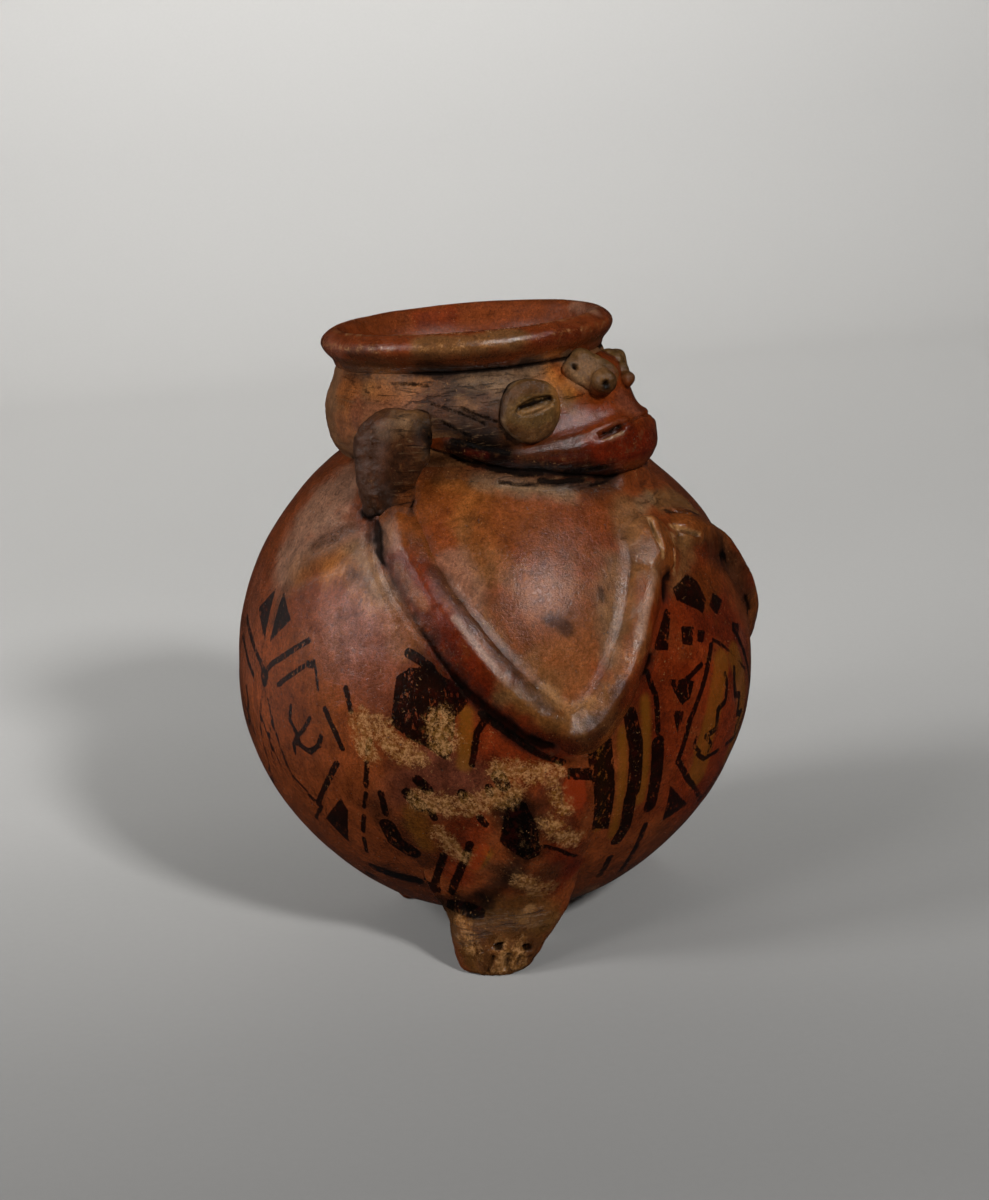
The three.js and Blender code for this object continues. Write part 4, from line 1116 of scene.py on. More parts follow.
# Soft patches of colour: tone, radius in millimetres, strength, pixels of the photograph
DABS = [
    # Body, its left side and shoulder
    # The mauve patch along the left edge is a painted bluish sheen
    ("brick", 10, 0.8, [(255, 660), (262, 720), (280, 780)]), ("mauve", 7, 0.4, [(252, 600), (246, 660)]),
    ("dusty", 7, 0.75, [(290, 560), (310, 520), (335, 490)]), ("dusty", 5, 0.6, [(322, 535), (350, 540)]),
    ("neck_clay", 4.5, 0.6, [(300, 575), (318, 556), (345, 560)]),
    ("orange", 4, 0.75, [(330, 572), (348, 566), (376, 588)]),
    ("umber", 1.8, 0.7, [(318, 542), (338, 534), (356, 528)]), ("umber", 2, 0.6, [(286, 590), (276, 620)]),
    # The next two: grime and painted shade in the crevice along the near arm's outer edge
    ("smoke", 1.6, 0.6, [(388, 556), (404, 584), (424, 612)]),
    ("soot", 2.6, 0.7, [(418, 656), (440, 668), (456, 690)]),
    ("drab", 3, 0.6, [(355, 545), (372, 570), (392, 600)]), ("umber", 2.2, 0.7, [(350, 572), (362, 582)]),
    ("mauve", 8, 0.5, [(345, 640), (365, 660), (385, 690)]), ("sienna", 8, 0.5, [(310, 660), (320, 700)]),
    ("brick", 8, 0.7, [(290, 700), (300, 760), (330, 800)]),
    ("belly_tan", 4, 0.5, [(395, 610), (410, 640)]), ("wine", 4, 0.4, [(425, 680), (450, 700)]),
    # Belly between the arms
    ("sienna", 6, 0.8, [(425, 500), (440, 488), (460, 500)]),
    ("orange", 4, 0.5, [(455, 478), (480, 492), (462, 520)]),
    ("olive", 4, 0.6, [(470, 530), (490, 560), (500, 590)]),
    ("sienna", 8, 0.8, [(500, 520), (540, 535), (560, 560)]),
    # The fold under the jaw: the pale lines are a painted highlight along its lit lower edge, the dark ones
    # painted shade under the jaw
    ("drab", 3, 0.75, [(480, 480), (530, 486), (565, 492)]),
    ("smoke", 3.0, 0.6, [(430, 470), (470, 474), (540, 480), (604, 476)]),
    ("smoke", 2.0, 0.6, [(500, 464), (550, 472), (612, 468)]),
    ("drab", 0.8, 0.7, [(500, 486), (530, 489), (566, 490)]),
    ("soot", 1.6, 0.7, [(556, 486), (590, 486), (612, 474)]),
    ("olive_dark", 3, 0.7, [(590, 490), (612, 482)]),
    ("belly_tan", 8, 0.6, [(530, 610), (560, 600), (580, 640)]),
    ("olive", 4, 0.65, [(500, 620), (525, 660), (548, 692)]),
    ("belly_tan", 5, 0.6, [(560, 670), (585, 700)]),
    ("tan", 1.8, 0.5, [(545, 690), (570, 712), (590, 702)]),
    ("drab", 3.2, 0.6, [(612, 560), (606, 610), (612, 660)]),
    ("olive", 3.5, 0.6, [(625, 510), (628, 560), (622, 620)]),
    ("soot", 1.7, 0.7, [(550, 619), (560, 624), (568, 629)]), ("soot", 1.0, 0.7, [(601, 590), (602, 598)]),
    ("umber", 2.2, 0.6, [(505, 660), (520, 685)]), ("dusty", 3, 0.5, [(452, 560), (470, 600)]),
    ("rust", 3, 0.45, [(520, 640), (500, 600)]),
    # Near arm
    ("dusty", 3, 0.6, [(385, 530), (398, 556)]),
    ("rust", 4.5, 0.8, [(400, 560), (430, 610), (455, 650), (480, 690)]),
    # A painted highlight along the near arm's outer ridge
    ("belly_tan", 1.6, 0.6, [(398, 566), (410, 590), (423, 604)]),
    ("rust_deep", 2.4, 0.7, [(446, 626), (470, 660), (500, 700)]),
    ("rust_deep", 3.5, 0.7, [(440, 650), (470, 690), (500, 712)]),
    ("olive", 3.5, 0.75, [(510, 700), (540, 722), (580, 730)]), ("amber", 3, 0.6, [(520, 716), (556, 735)]),
    ("rust_deep", 3.5, 0.8, [(505, 722), (535, 742), (565, 750)]),
    # A painted highlight along the near arm's crest
    ("dusty", 0.8, 0.7, [(455, 618), (480, 650), (508, 684)]),
    ("olive_dark", 1.6, 0.6, [(436, 572), (470, 620), (510, 668), (550, 708)]),
    ("olive", 3.5, 0.6, [(600, 715), (612, 690)]), ("belly_tan", 3, 0.6, [(620, 680), (634, 650)]),
    ("rust", 3, 0.8, [(655, 620), (662, 590), (648, 660)]), ("rust", 2.6, 0.7, [(640, 670), (625, 700)]),
    ("deep", 3, 0.7, [(520, 738), (556, 748), (590, 744)]),
    ("deep", 2.4, 0.6, [(596, 726), (614, 712), (622, 690)]),
    # A painted highlight along the forearm's crest
    ("dusty", 1.1, 0.8, [(655, 572), (646, 608), (637, 646)]),
    # Hands and the far arm
    ("neck_clay", 4, 0.7, [(632, 505), (640, 540), (648, 570)]),
    ("olive", 3.4, 0.7, [(655, 500), (690, 506)]), ("drab", 1.6, 0.6, [(640, 505), (650, 496)]),
    ("olive", 3, 0.75, [(684, 545), (690, 560), (676, 590)]),
    ("olive_dark", 4, 0.75, [(705, 545), (728, 560), (745, 590)]),
    ("rust_deep", 3.4, 0.7, [(715, 522), (735, 545), (752, 575)]),
    ("deep", 4, 0.7, [(712, 548), (735, 566), (746, 590)]), ("soot", 2, 0.5, [(722, 548), (738, 566)]),
    # Right side, with the painted panels
    ("rust", 10, 0.85, [(690, 620), (715, 600), (735, 640)]),
    ("rust", 9, 0.8, [(715, 690), (725, 730), (700, 790)]),
    ("rust", 8, 0.8, [(660, 690), (670, 730), (665, 790)]), ("mauve", 3, 0.5, [(742, 640), (738, 690)]),
    ("shadow_rust", 7, 0.7, [(700, 600), (722, 620), (738, 660)]),
    ("amber", 4, 0.35, [(700, 590), (715, 578)]),
    ("shadow_rust", 6, 0.6, [(640, 700), (645, 760), (630, 820)]),
    ("brick", 8, 0.4, [(640, 800), (620, 850), (660, 840)]),
    ("drab", 3, 0.6, [(640, 868), (610, 884), (590, 890)]),
    # Lower front and thigh
    ("wine", 7, 0.5, [(400, 730), (440, 770), (470, 760)]),
    ("mauve", 6, 0.6, [(430, 765), (470, 780), (400, 790)]), ("rust", 6, 0.8, [(490, 740), (530, 765)]),
    ("brick", 6, 0.6, [(365, 760), (375, 830), (400, 860)]),
    ("mustard", 2.6, 0.55, [(413, 812), (425, 845)]), ("mustard", 1.8, 0.8, [(484, 852), (474, 864)]),
    ("rust", 4, 0.8, [(470, 830), (455, 870)]), ("rust", 4, 0.8, [(570, 786), (576, 804)]),
    ("rust", 2.6, 0.8, [(562, 862), (574, 868)]), ("rust", 2.6, 0.7, [(536, 878), (544, 888)]),
    ("rust_deep", 3.6, 0.7, [(556, 796), (566, 836)]),
    ("rust_deep", 4, 0.7, [(560, 850), (566, 872), (548, 890)]),
    ("foot_clay", 4, 0.8, [(500, 905), (530, 900), (545, 915)]),
    ("smoke", 2.2, 0.6, [(470, 908), (500, 918), (530, 930)]), ("tan", 1.2, 0.5, [(530, 908), (524, 918)]),
    ("foot_clay", 6, 0.9, [(455, 925), (470, 945), (480, 965)]),
    ("orange", 1.6, 0.6, [(462, 926), (470, 934)]),
    ("foot_clay", 5, 0.8, [(500, 930), (530, 935), (515, 965)]),
    ("umber", 2.2, 0.6, [(478, 940), (484, 965)]), ("umber", 2, 0.5, [(530, 945), (525, 962)]),
    ("smoke", 1.4, 0.7, [(509, 956), (506, 966)]), ("char", 4.4, 0.9, [(513, 806), (522, 828), (522, 852)]),
    ("umber", 4, 0.8, [(500, 872), (524, 884), (545, 876)]),
    ("char", 2.4, 0.85, [(442, 900), (466, 903), (484, 901)]),
    ("soot", 2.6, 0.8, [(486, 896), (504, 882), (518, 870)]),
    ("deep", 4, 0.45, [(400, 768), (450, 772), (490, 770)]),
    ("soot", 4, 0.6, [(376, 806), (396, 828), (424, 858)]),
    ("deep", 5, 0.6, [(410, 800), (450, 812), (440, 840)]),
    ("char", 2, 0.7, [(322, 846), (345, 862), (372, 876)]), ("soot", 3, 0.6, [(392, 872), (412, 880)]),
    ("tan", 0.9, 0.6, [(505, 955), (503, 968)]), ("umber", 3.2, 0.55, [(556, 792), (562, 828)]),
    ("umber", 3.4, 0.3, [(486, 936), (518, 944)]), ("umber", 4, 0.5, [(722, 546), (740, 568)]),
    # Hand grooves
    ("tan", 0.6, 0.9, [(649, 520), (656, 535), (663, 556)]),
    ("tan", 0.5, 0.8, [(672, 534), (674, 556), (674, 574)]),
    ("tan", 0.55, 0.85, [(671, 526), (684, 529), (699, 534)]),
    # Painted shade in the slit between the far hand's fingers
    ("char", 0.7, 0.95, [(666, 511), (682, 512), (697, 514)]),
    # Rim
    ("brick", 4, 0.8, [(360, 322), (440, 318), (520, 312), (566, 312)]),
    # The dusty patch at the inner rim's right end is a painted reflection
    ("rust", 2.5, 0.6, [(420, 318), (450, 315)]), ("dusty", 2, 0.4, [(575, 304), (594, 312)]),
    ("olive", 2.4, 0.75, [(420, 346), (470, 345), (520, 337)]),
    ("umber", 1.6, 0.6, [(350, 352), (420, 358), (500, 354)]), ("wine", 2.4, 0.5, [(540, 340), (575, 334)]),
    ("mauve", 3, 0.5, [(325, 345), (335, 352)]),
    # Neck
    ("neck_clay", 6, 0.8, [(338, 395), (370, 395), (400, 392)]),
    ("sienna", 4, 0.6, [(340, 425), (352, 412), (345, 385)]),
    ("umber", 2.6, 0.75, [(345, 366), (380, 370), (420, 374), (450, 372)]),
    ("mauve", 3, 0.6, [(385, 398), (410, 402), (360, 410)]),
    ("orange", 3.4, 0.45, [(380, 388), (432, 396)]),
    ("soot", 3.2, 0.8, [(456, 388), (472, 394), (484, 388)]), ("umber", 3, 0.5, [(486, 396), (492, 410)]),
    ("smoke", 4, 0.85, [(440, 412), (470, 424), (495, 436)]), ("umber", 3, 0.7, [(425, 402), (440, 420)]),
    ("olive", 4, 0.6, [(405, 418), (425, 440)]), ("drab", 3, 0.6, [(470, 378), (510, 376), (540, 366)]),
    ("drab", 2.2, 0.6, [(508, 385), (500, 398)]), ("soot", 1.6, 0.8, [(420, 366), (480, 367), (540, 360)]),
    ("olive_dark", 2.4, 0.6, [(500, 408), (500, 425)]),
    # Face
    ("orange", 4.2, 0.9, [(552, 370), (562, 385), (566, 398)]),
    ("rust", 2.2, 0.5, [(556, 366), (560, 372)]),
    ("drab", 1.5, 0.7, [(566, 356), (568, 368), (576, 380), (590, 392)]),
    ("ochre", 3, 0.7, [(570, 402), (582, 404)]),
    ("snout_red", 5, 0.9, [(590, 410), (606, 402), (622, 398)]),
    ("mauve", 2.6, 0.5, [(622, 402), (632, 408)]), ("snout_red", 3, 0.7, [(578, 425), (600, 424)]),
    ("jaw_red", 4.5, 0.9, [(600, 455), (625, 448), (645, 445)]),
    ("jaw_red", 3, 0.9, [(530, 460), (560, 460), (590, 458)]),
    # The next three: painted shade under the jaw's overhanging lower edge
    ("soot", 1.8, 0.75, [(500, 464), (540, 468), (580, 468), (610, 466)]),
    ("deep", 2.4, 0.8, [(515, 458), (550, 460), (585, 460)]),
    ("char", 1.0, 0.7, [(512, 463), (545, 466), (590, 466)]),
    ("olive_dark", 2, 0.6, [(545, 446), (575, 441)]),
    ("soot", 4.5, 0.85, [(430, 436), (465, 446), (500, 452)]),
    ("wine", 1.6, 0.6, [(465, 452), (490, 457), (512, 460)]), ("umber", 2.4, 0.6, [(505, 447), (525, 452)]),
    ("char", 3, 0.9, [(432, 441), (465, 449), (500, 456)]), ("wine", 0.9, 0.7, [(468, 453), (486, 456)]),
    ("tan", 0.6, 0.6, [(519, 414), (535, 411), (552, 406)]),
    # Painted shade in the eye's slit
    ("char", 0.5, 0.85, [(520, 408), (536, 403), (550, 399)]),
    ("umber", 1.6, 0.6, [(508, 396), (520, 388), (540, 386)]),
    ("umber", 1.8, 0.6, [(510, 428), (530, 437), (550, 430)]),
    ("drab", 0.6, 0.6, [(503, 420), (508, 432), (520, 441)]),
    ("olive_dark", 4, 0.6, [(580, 366), (600, 372), (612, 380)]),
    ("drab", 0.8, 0.6, [(569, 360), (574, 372), (582, 382)]), ("olive", 3, 0.6, [(584, 366), (598, 372)]),
    # Painted shade in the nostrils
    ("char", 0.9, 0.9, [(573, 366), (574, 369)]), ("char", 0.9, 0.95, [(604, 384), (606, 386)]),
    ("drab", 0.5, 0.8, [(603, 439.5), (612, 437), (622, 432)]),
    # Painted shade in the mouth's slit
    ("char", 0.7, 0.85, [(601, 434.5), (610, 431), (618, 427.5)]),
    # Lug
    ("olive_dark", 5, 0.6, [(375, 450), (400, 465)]), ("soot", 3.5, 0.5, [(396, 444), (404, 462)]),
    ("smoke", 4, 0.6, [(392, 478), (384, 500)]), ("umber", 5, 0.5, [(372, 440), (395, 450)]),
    ("drab", 2, 0.6, [(385, 430), (400, 428)]), ("umber", 3, 0.6, [(372, 478), (392, 470)]),
    ("soot", 2, 0.5, [(400, 462), (385, 495)]), ("umber", 2.4, 0.5, [(364, 476), (362, 500)]),
    ("olive_dark", 3, 0.6, [(372, 440), (392, 434)]),
]
# Rough, scratched places: radius, pixels of the photograph
SCORED = [
    (5, [(468, 462), (500, 472), (560, 478), (612, 474)]), (6, [(415, 402), (450, 418), (500, 438)]),
    (4, [(398, 412), (412, 450), (404, 500)]), (2, [(640, 500), (690, 504)]),
    (4, [(460, 935), (500, 920), (540, 915)]), (5, [(350, 372), (430, 380), (540, 366)]),
    (3, [(560, 396), (584, 396)]), (5, [(345, 396), (420, 396), (500, 390)]),
]
# Places with no burnish
MATTE = [
    (5, [(430, 436), (465, 446), (508, 452)]), (5, [(556, 372), (572, 390), (590, 395)]),
    (9, [(345, 390), (380, 410)]), (8, [(370, 316), (450, 312), (530, 308), (592, 314)]),
    (7, [(402, 440), (398, 480)]), (4, [(470, 905), (500, 890)]), (4, [(455, 470), (540, 480), (610, 474)]),
    (6, [(716, 542), (730, 556), (744, 572)]), (2.2, [(516, 459), (550, 460), (582, 460)]),
    (4, [(550, 796), (562, 826)]), (5, [(300, 575), (330, 560), (350, 545)]), (4, [(415, 455), (400, 500)]),
    (4, [(640, 505), (690, 506)]),
]
# Gouges in the fold of clay under the jaw, on the neck and in the eye's and mouth's slits, painted dark as
# shade in the grooves: half width, pixels
GOUGES = [
    (0.28, [(521, 407), (536, 402), (549, 398)]), (0.4, [(602, 434), (612, 430), (622, 425)]),
    (0.8, [(478, 463), (498, 470), (520, 474), (540, 473)]), (0.7, [(540, 481), (560, 482), (582, 479)]),
    (0.7, [(566, 472), (584, 471), (606, 467)]), (0.35, [(500, 482), (520, 485), (536, 485)]),
    (0.35, [(590, 486), (604, 482), (616, 474)]), (0.6, [(452, 456), (466, 462), (478, 466)]),
    (0.6, [(430, 437), (452, 441), (480, 447), (508, 453)]),
]
# Holes between the near foot's toes, and thin scratches on the neck, both painted dark as shade in them
FOOT_HOLES = [(1.0, [(498, 944), (499, 946)]), (0.8, [(523, 947), (528, 947)])]
NECK_GOUGES = [
    (0.3, [(432, 404), (462, 414), (486, 424)]), (0.35, [(420, 410), (446, 424), (470, 436)]),
    (0.3, [(462, 408), (480, 416), (498, 422)]), (0.28, [(392, 384), (410, 384), (428, 386)]),
]

# Painted lines: half width in millimetres, pixels of the photograph
SIDE_LINES = [
    (0.7, [(263, 674), (272, 664), (290, 652), (310, 640)]), (0.6, [(263, 668), (262, 676), (264, 684)]),
    (0.62, [(278, 685), (291, 675), (304, 666)]), (0.85, [(308, 664), (311, 664)]),
    (0.38, [(314, 660), (316, 672), (318, 690)]), (0.7, [(325, 709), (336, 734), (342, 748)]),
    (0.75, [(337, 763), (329, 779), (318, 804), (310, 796)]), (0.62, [(291, 706), (290, 720), (297, 734)]),
    (0.66, [(297, 734), (300, 745), (310, 752), (319, 745), (321, 736)]),
    (0.55, [(310, 718), (304, 729), (298, 736)]), (0.55, [(297, 734), (294, 744), (295, 753)]),
    (0.36, [(260, 712), (268, 735), (282, 767)]), (0.38, [(268, 699), (277, 736), (283, 754)]),
    (0.4, [(283, 754), (292, 775), (306, 790)]),
]
DASH_LINES = [
    (0.6, [(370, 740), (367, 753)]), (0.62, [(367, 762), (366, 786)]), (0.55, [(366, 793), (364, 807)]),
    (0.6, [(364, 816), (363, 831)]), (0.55, [(364, 838), (367, 852)]), (0.85, [(381, 793), (386, 814)]),
    (0.7, [(346, 688), (351, 711)]), (0.5, [(322, 806), (316, 818)]),
]
FRONT_LINES = [
    (0.8, [(711, 645), (706, 674), (690, 720), (678, 761), (688, 779), (700, 799)]),
    (0.75, [(725, 674), (727, 686), (725, 702), (718, 709), (716, 729), (706, 736)]),
    (0.5, [(696, 738), (694, 746), (700, 752)]), (0.55, [(697, 754), (704, 759), (712, 754), (718, 750)]),
    (0.5, [(706, 736), (711, 744), (708, 752)]),
]
TOP_LINES = [(0.45, [(713, 640), (722, 645), (745, 670)]), (0.6, [(675, 688), (688, 678), (702, 664)])]
STRIPES = [
    (0.75, [(647, 672), (656, 697), (658, 731)]), (1.8, [(658, 743), (656, 777), (650, 806)]),
    (1.9, [(630, 715), (636, 743), (633, 792)]), (1.7, [(630, 798), (625, 827), (617, 840)]),
    (0.85, [(645, 825), (633, 852), (620, 871)]), (0.85, [(610, 857), (599, 876)]),
]
CENTRE_LINES = [
    (0.75, [(487, 716), (477, 733), (472, 764)]), (1.1, [(409, 653), (420, 660), (431, 668)]),
    (1.2, [(442, 657), (452, 668), (461, 684)]), (0.85, [(481, 714), (507, 732), (537, 753), (562, 762)]),
    (0.9, [(444, 855), (438, 872), (433, 890)]), (0.95, [(470, 844), (462, 866), (451, 892)]),
    (0.45, [(544, 846), (560, 850), (576, 856)]), (1.1, [(462, 793), (463, 798)]),
    (0.9, [(489, 787), (490, 794)]), (0.9, [(480, 818), (485, 824)]), (0.9, [(431, 811), (434, 818)]),
    (1.3, [(418, 780), (428, 790)]), (2.0, [(376, 868), (398, 876), (416, 880)]),
    (1.3, [(428, 884), (436, 888)]), (1.3, [(322, 846), (345, 863), (370, 874)]),
    (2.2, [(388, 826), (396, 842), (412, 852)]), (1.6, [(408, 794), (420, 806)]),
    (1.5, [(498, 776), (504, 786)]), (0.5, [(594, 758), (597, 812)]),
]
# Painted patches, as outlines in pixels of the photograph
SIDE_PATCHES = [[(284, 592), (291, 620), (270, 642)], [(341, 798), (326, 818), (349, 842), (348, 811)]]
FRONT_PATCHES = [
    [(676, 600), (673, 589), (686, 574), (697, 581), (706, 600), (703, 613), (690, 606)],
    [(713, 592), (722, 600), (717, 616), (709, 605)], [(732, 622), (739, 624), (738, 634), (732, 632)],
    [(665, 609), (670, 608), (668, 650), (653, 650)], [(681, 626), (694, 627), (692, 646), (682, 644)],
    [(698, 630), (705, 631), (703, 643), (697, 641)],
    [(669, 679), (694, 681), (690, 698), (682, 705), (674, 692)], [(673, 711), (684, 711), (677, 735)],
    [(670, 786), (687, 804), (662, 821)],
]
CENTRE_PATCHES = [
    [(396, 677), (409, 668), (431, 667), (459, 687), (469, 701), (456, 717), (452, 752), (446, 760),
     (430, 749), (405, 736), (391, 724)],
    [(568, 768), (594, 768), (593, 780), (568, 779)],
    [(588, 744), (612, 738), (615, 790), (608, 829), (592, 830), (594, 790)],
    [(507, 796), (526, 803), (537, 826), (541, 854), (526, 860), (500, 842)],
    [(448, 899), (470, 902), (486, 910), (484, 919), (460, 914), (446, 907)],
]
OCHRE_LINES = [
    (3.4, [(722, 664), (716, 700), (704, 745), (698, 775)]), (2.0, [(740, 690), (735, 740), (715, 790)]),
    (1.3, [(645, 700), (646, 740), (640, 800)]), (1.2, [(622, 730), (622, 780), (612, 835)]),
    (1.6, [(466, 712), (466, 740), (464, 765)]), (1.0, [(600, 745), (603, 790), (598, 828)]),
]
ORANGE_LINES = [(2.6, [(574, 786), (576, 800)]), (1.3, [(484, 848), (474, 866)])]
WORN_LINES = [
    (2.6, [(360, 722), (380, 728), (394, 748), (416, 757)]), (2.2, [(360, 735), (368, 752)]),
    (3.0, [(440, 722), (444, 742)]), (2.6, [(420, 800), (450, 806), (480, 802), (506, 796)]),
    (2.4, [(500, 770), (524, 772), (552, 776)]), (2.0, [(440, 834), (452, 848), (462, 856)]),
    (1.8, [(548, 824), (560, 834), (574, 840)]), (1.4, [(556, 792), (566, 812)]),
    (1.6, [(500, 792), (518, 790)]), (1.2, [(462, 926), (472, 946)]), (1.0, [(504, 952), (502, 970)]),
    (1.0, [(518, 950), (519, 968)]), (2.0, [(520, 880), (545, 890)]),
]
# Hidden sides repeat the pattern: -1 mirrors it, and the second number turns it in degrees
SIDE_COPIES = [(1, 0), (-1, 0), (1, 62), (-1, -62), (-1, 240), (1, -240)]
FRONT_COPIES = [(1, 0), (1, 180)]
FRONT_LINE_COPIES = [(1, 0), (-1, 0), (1, 180)]
STRIPE_COPIES = [(1, 0), (-1, 0), (1, 118), (-1, -118)]
CENTRE_COPIES = [(1, 0), (-1, 0)]
PAINT_REACH = 4.0


def turned(aims, sign, turn):
    azimuth, latitude = places(aims)
    return directions(sign * azimuth + turn, latitude)


def aims_of(trees, line):
    return unit(seen_line(trees, line) - (0, 0, BODY_CENTRE))


def near_line(points, line, half, best):
    """Lowers best to the distance outside a line, for points near enough to matter."""
    close = near(points, line, half + PAINT_REACH)
    if close.any():
        away, _ = line_distance(points[close], line)
        best[close] = np.minimum(best[close], away - half)


def inside_ring(flat, ring):
    """Which flat points a closed ring holds."""
    held = np.zeros(len(flat), bool)
    for a, b in zip(ring[:-1], ring[1:]):
        crosses = (a[1] > flat[:, 1]) != (b[1] > flat[:, 1])
        slope = (b[0] - a[0]) / (b[1] - a[1] if b[1] != a[1] else TINY)
        held ^= crosses & (flat[:, 0] < a[0] + slope * (flat[:, 1] - a[1]))
    return held


def near_patch(points, outline, best):
    """Lowers best to the distance outside an outline, less than zero inside it."""
    close = near(points, outline, PAINT_REACH)
    if not close.any():
        return
    normal = unit(outline.mean(0))
    across = unit(np.cross((0, 0, 1), normal))
    plane = np.stack([across, np.cross(normal, across)], -1)
    flat, edge = points[close] @ plane, outline @ plane
    ring = np.concatenate([edge, edge[:1]])
    away, _ = line_distance(flat, ring)
    best[close] = np.minimum(best[close], np.where(inside_ring(flat, ring), -away, away))


def paint_distance(points, trees, line_groups, patch_groups=()):
    """Distance in millimetres outside the painted shapes, over a globe of the body's radius."""
    best = np.full(len(points), PAINT_REACH)
    for lines, copies in line_groups:
        for half, line in lines:
            aims = aims_of(trees, line)
            for sign, turn in copies:
                near_line(points, turned(aims, sign, turn) * BODY_RADIUS, half, best)
    for patches, copies in patch_groups:
        for outline in patches:
            aims = aims_of(trees, outline)
            for sign, turn in copies:
                near_patch(points, turned(aims, sign, turn) * BODY_RADIUS, best)
    return best


DAB_SOFTNESS = 0.55
DAB_SPREAD = 2.2
# How ragged the patches are: size and height of each noise, shift, and their whole share
RAGGED = [(7, 0.5, 2.2), (2.6, 0.32, 4.4), (1.1, 0.22, 6.6)]
RAGGED_SHARE = 0.8
# Patches on the sides that the photograph doesn't show: how many, the light on them, how far round
# they keep off the seen side, their length, radii and strengths
HIDDEN_DABS = 90
HIDDEN_SEED = 23
HIDDEN_LIGHT = 0.8
HIDDEN_FACING = 0.15
HIDDEN_LENGTH = 6
HIDDEN_RADII = (3, 9)
HIDDEN_STRENGTHS = (0.3, 0.6)
HIDDEN_TONES = [
    "mauve", "sienna", "orange", "dusty", "olive", "rust", "brick_dark", "wine", "belly_tan", "rust",
]


def hidden_dabs():
    """Patches scattered over the sides that the photograph doesn't show."""
    rng = np.random.default_rng(HIDDEN_SEED)
    found = []
    for _ in range(HIDDEN_DABS):
        aim = unit(rng.normal(size=3))
        if aim @ unit(EYE_POINT) < HIDDEN_FACING:
            start = aim * BODY_RADIUS
            end = start + rng.normal(size=3) * HIDDEN_LENGTH
            found.append((HIDDEN_TONES[rng.integers(len(HIDDEN_TONES))], rng.uniform(*HIDDEN_RADII),
                          rng.uniform(*HIDDEN_STRENGTHS), np.array([start, end]) + (0, 0, BODY_CENTRE)))
    return found


def all_dabs(trees):
    """Every patch with its places on the pot and the light that falls there."""
    placed = []
    for name, radius, strength, pixels in DABS:
        line = seen_line(trees, pixels)
        if len(line):
            placed.append((name, radius, strength, line, light_on(line.mean(0))))
    return placed + [(*dab, HIDDEN_LIGHT) for dab in hidden_dabs()]


def tinted(points, base, placed):
    """A colour for each point: the base tone under soft patches with uneven edges."""
    colour = np.tile(tone(base), (len(points), 1))
    ragged = layered(points, RAGGED)
    for name, radius, strength, line, light in placed:
        close = near(points, line, radius * DAB_SPREAD)
        if close.any():
            away, _ = line_distance(points[close], line)
            share = away / radius + ragged[close] * RAGGED_SHARE
            mask = strength * ease(1 + DAB_SOFTNESS, 1 - DAB_SOFTNESS, share)[:, None]
            colour[close] = lerp(colour[close], tone(name) / light, mask)
    return colour


def spread_over(points, trees, table, core=0.2):
    """1 on a table's places, on both sides of the figure, and 0 off them."""
    found = np.zeros(len(points))
    for radius, pixels in table:
        line = seen_line(trees, pixels)
        for spots in (line, line * MIRROR):
            close = near(points, spots, radius)
            if close.any():
                away, _ = line_distance(points[close], spots)
                found[close] = np.maximum(found[close], ease(radius, radius * core, away))
    return found


# Wear, grime and painted shade

SOFTENINGS = 12
SOFTENING = 0.7
CREVICE_REACH = 4.0


def neighbours_mean(edges, values, count):
    ends = np.concatenate([edges[:, 0], edges[:, 1]])
    others = np.concatenate([edges[:, 1], edges[:, 0]])
    sums = [np.bincount(ends, values[others, i], len(count)) for i in range(values.shape[1])]
    return np.stack(sums, -1) / count[:, None]


def hollowness(piece):
    """How far each corner lies under the softened surface, in millimetres: hollows above zero."""
    points = corners(piece) / METRES
    edges = np.empty(len(piece.data.edges) * 2, int)
    piece.data.edges.foreach_get("vertices", edges)
    edges = edges.reshape(-1, 2)
    count = np.maximum(np.bincount(edges.ravel(), minlength=len(points)), 1)
    soft = points
    for _ in range(SOFTENINGS):
        soft = lerp(soft, neighbours_mean(edges, soft, count), SOFTENING)
    return np.einsum("ij,ij->i", soft - points, outward(piece))


def crevice(points, others):
    """Distance in millimetres to the nearest surface of the pieces that touch this one."""
    away = np.full(len(points), CREVICE_REACH)
    for tree, (low, high) in others:
        close = np.all((points > low - CREVICE_REACH) & (points < high + CREVICE_REACH), axis=1)
        for i in np.flatnonzero(close):
            spot, _, _, gap = tree.find_nearest(Vector(points[i] * METRES), away[i] * METRES)
            if spot is not None:
                away[i] = gap / METRES
    return away


def write_number(piece, name, values):
    attribute = piece.data.attributes.new(name, "FLOAT", "POINT")
    attribute.data.foreach_set("value", np.asarray(values, np.float32))


def write_colour(piece, name, values):
    attribute = piece.data.attributes.new(name, "FLOAT_COLOR", "POINT")
    full = np.concatenate([values, np.ones((len(values), 1))], 1)
    attribute.data.foreach_set("color", full.astype(np.float32).ravel())


# Materials

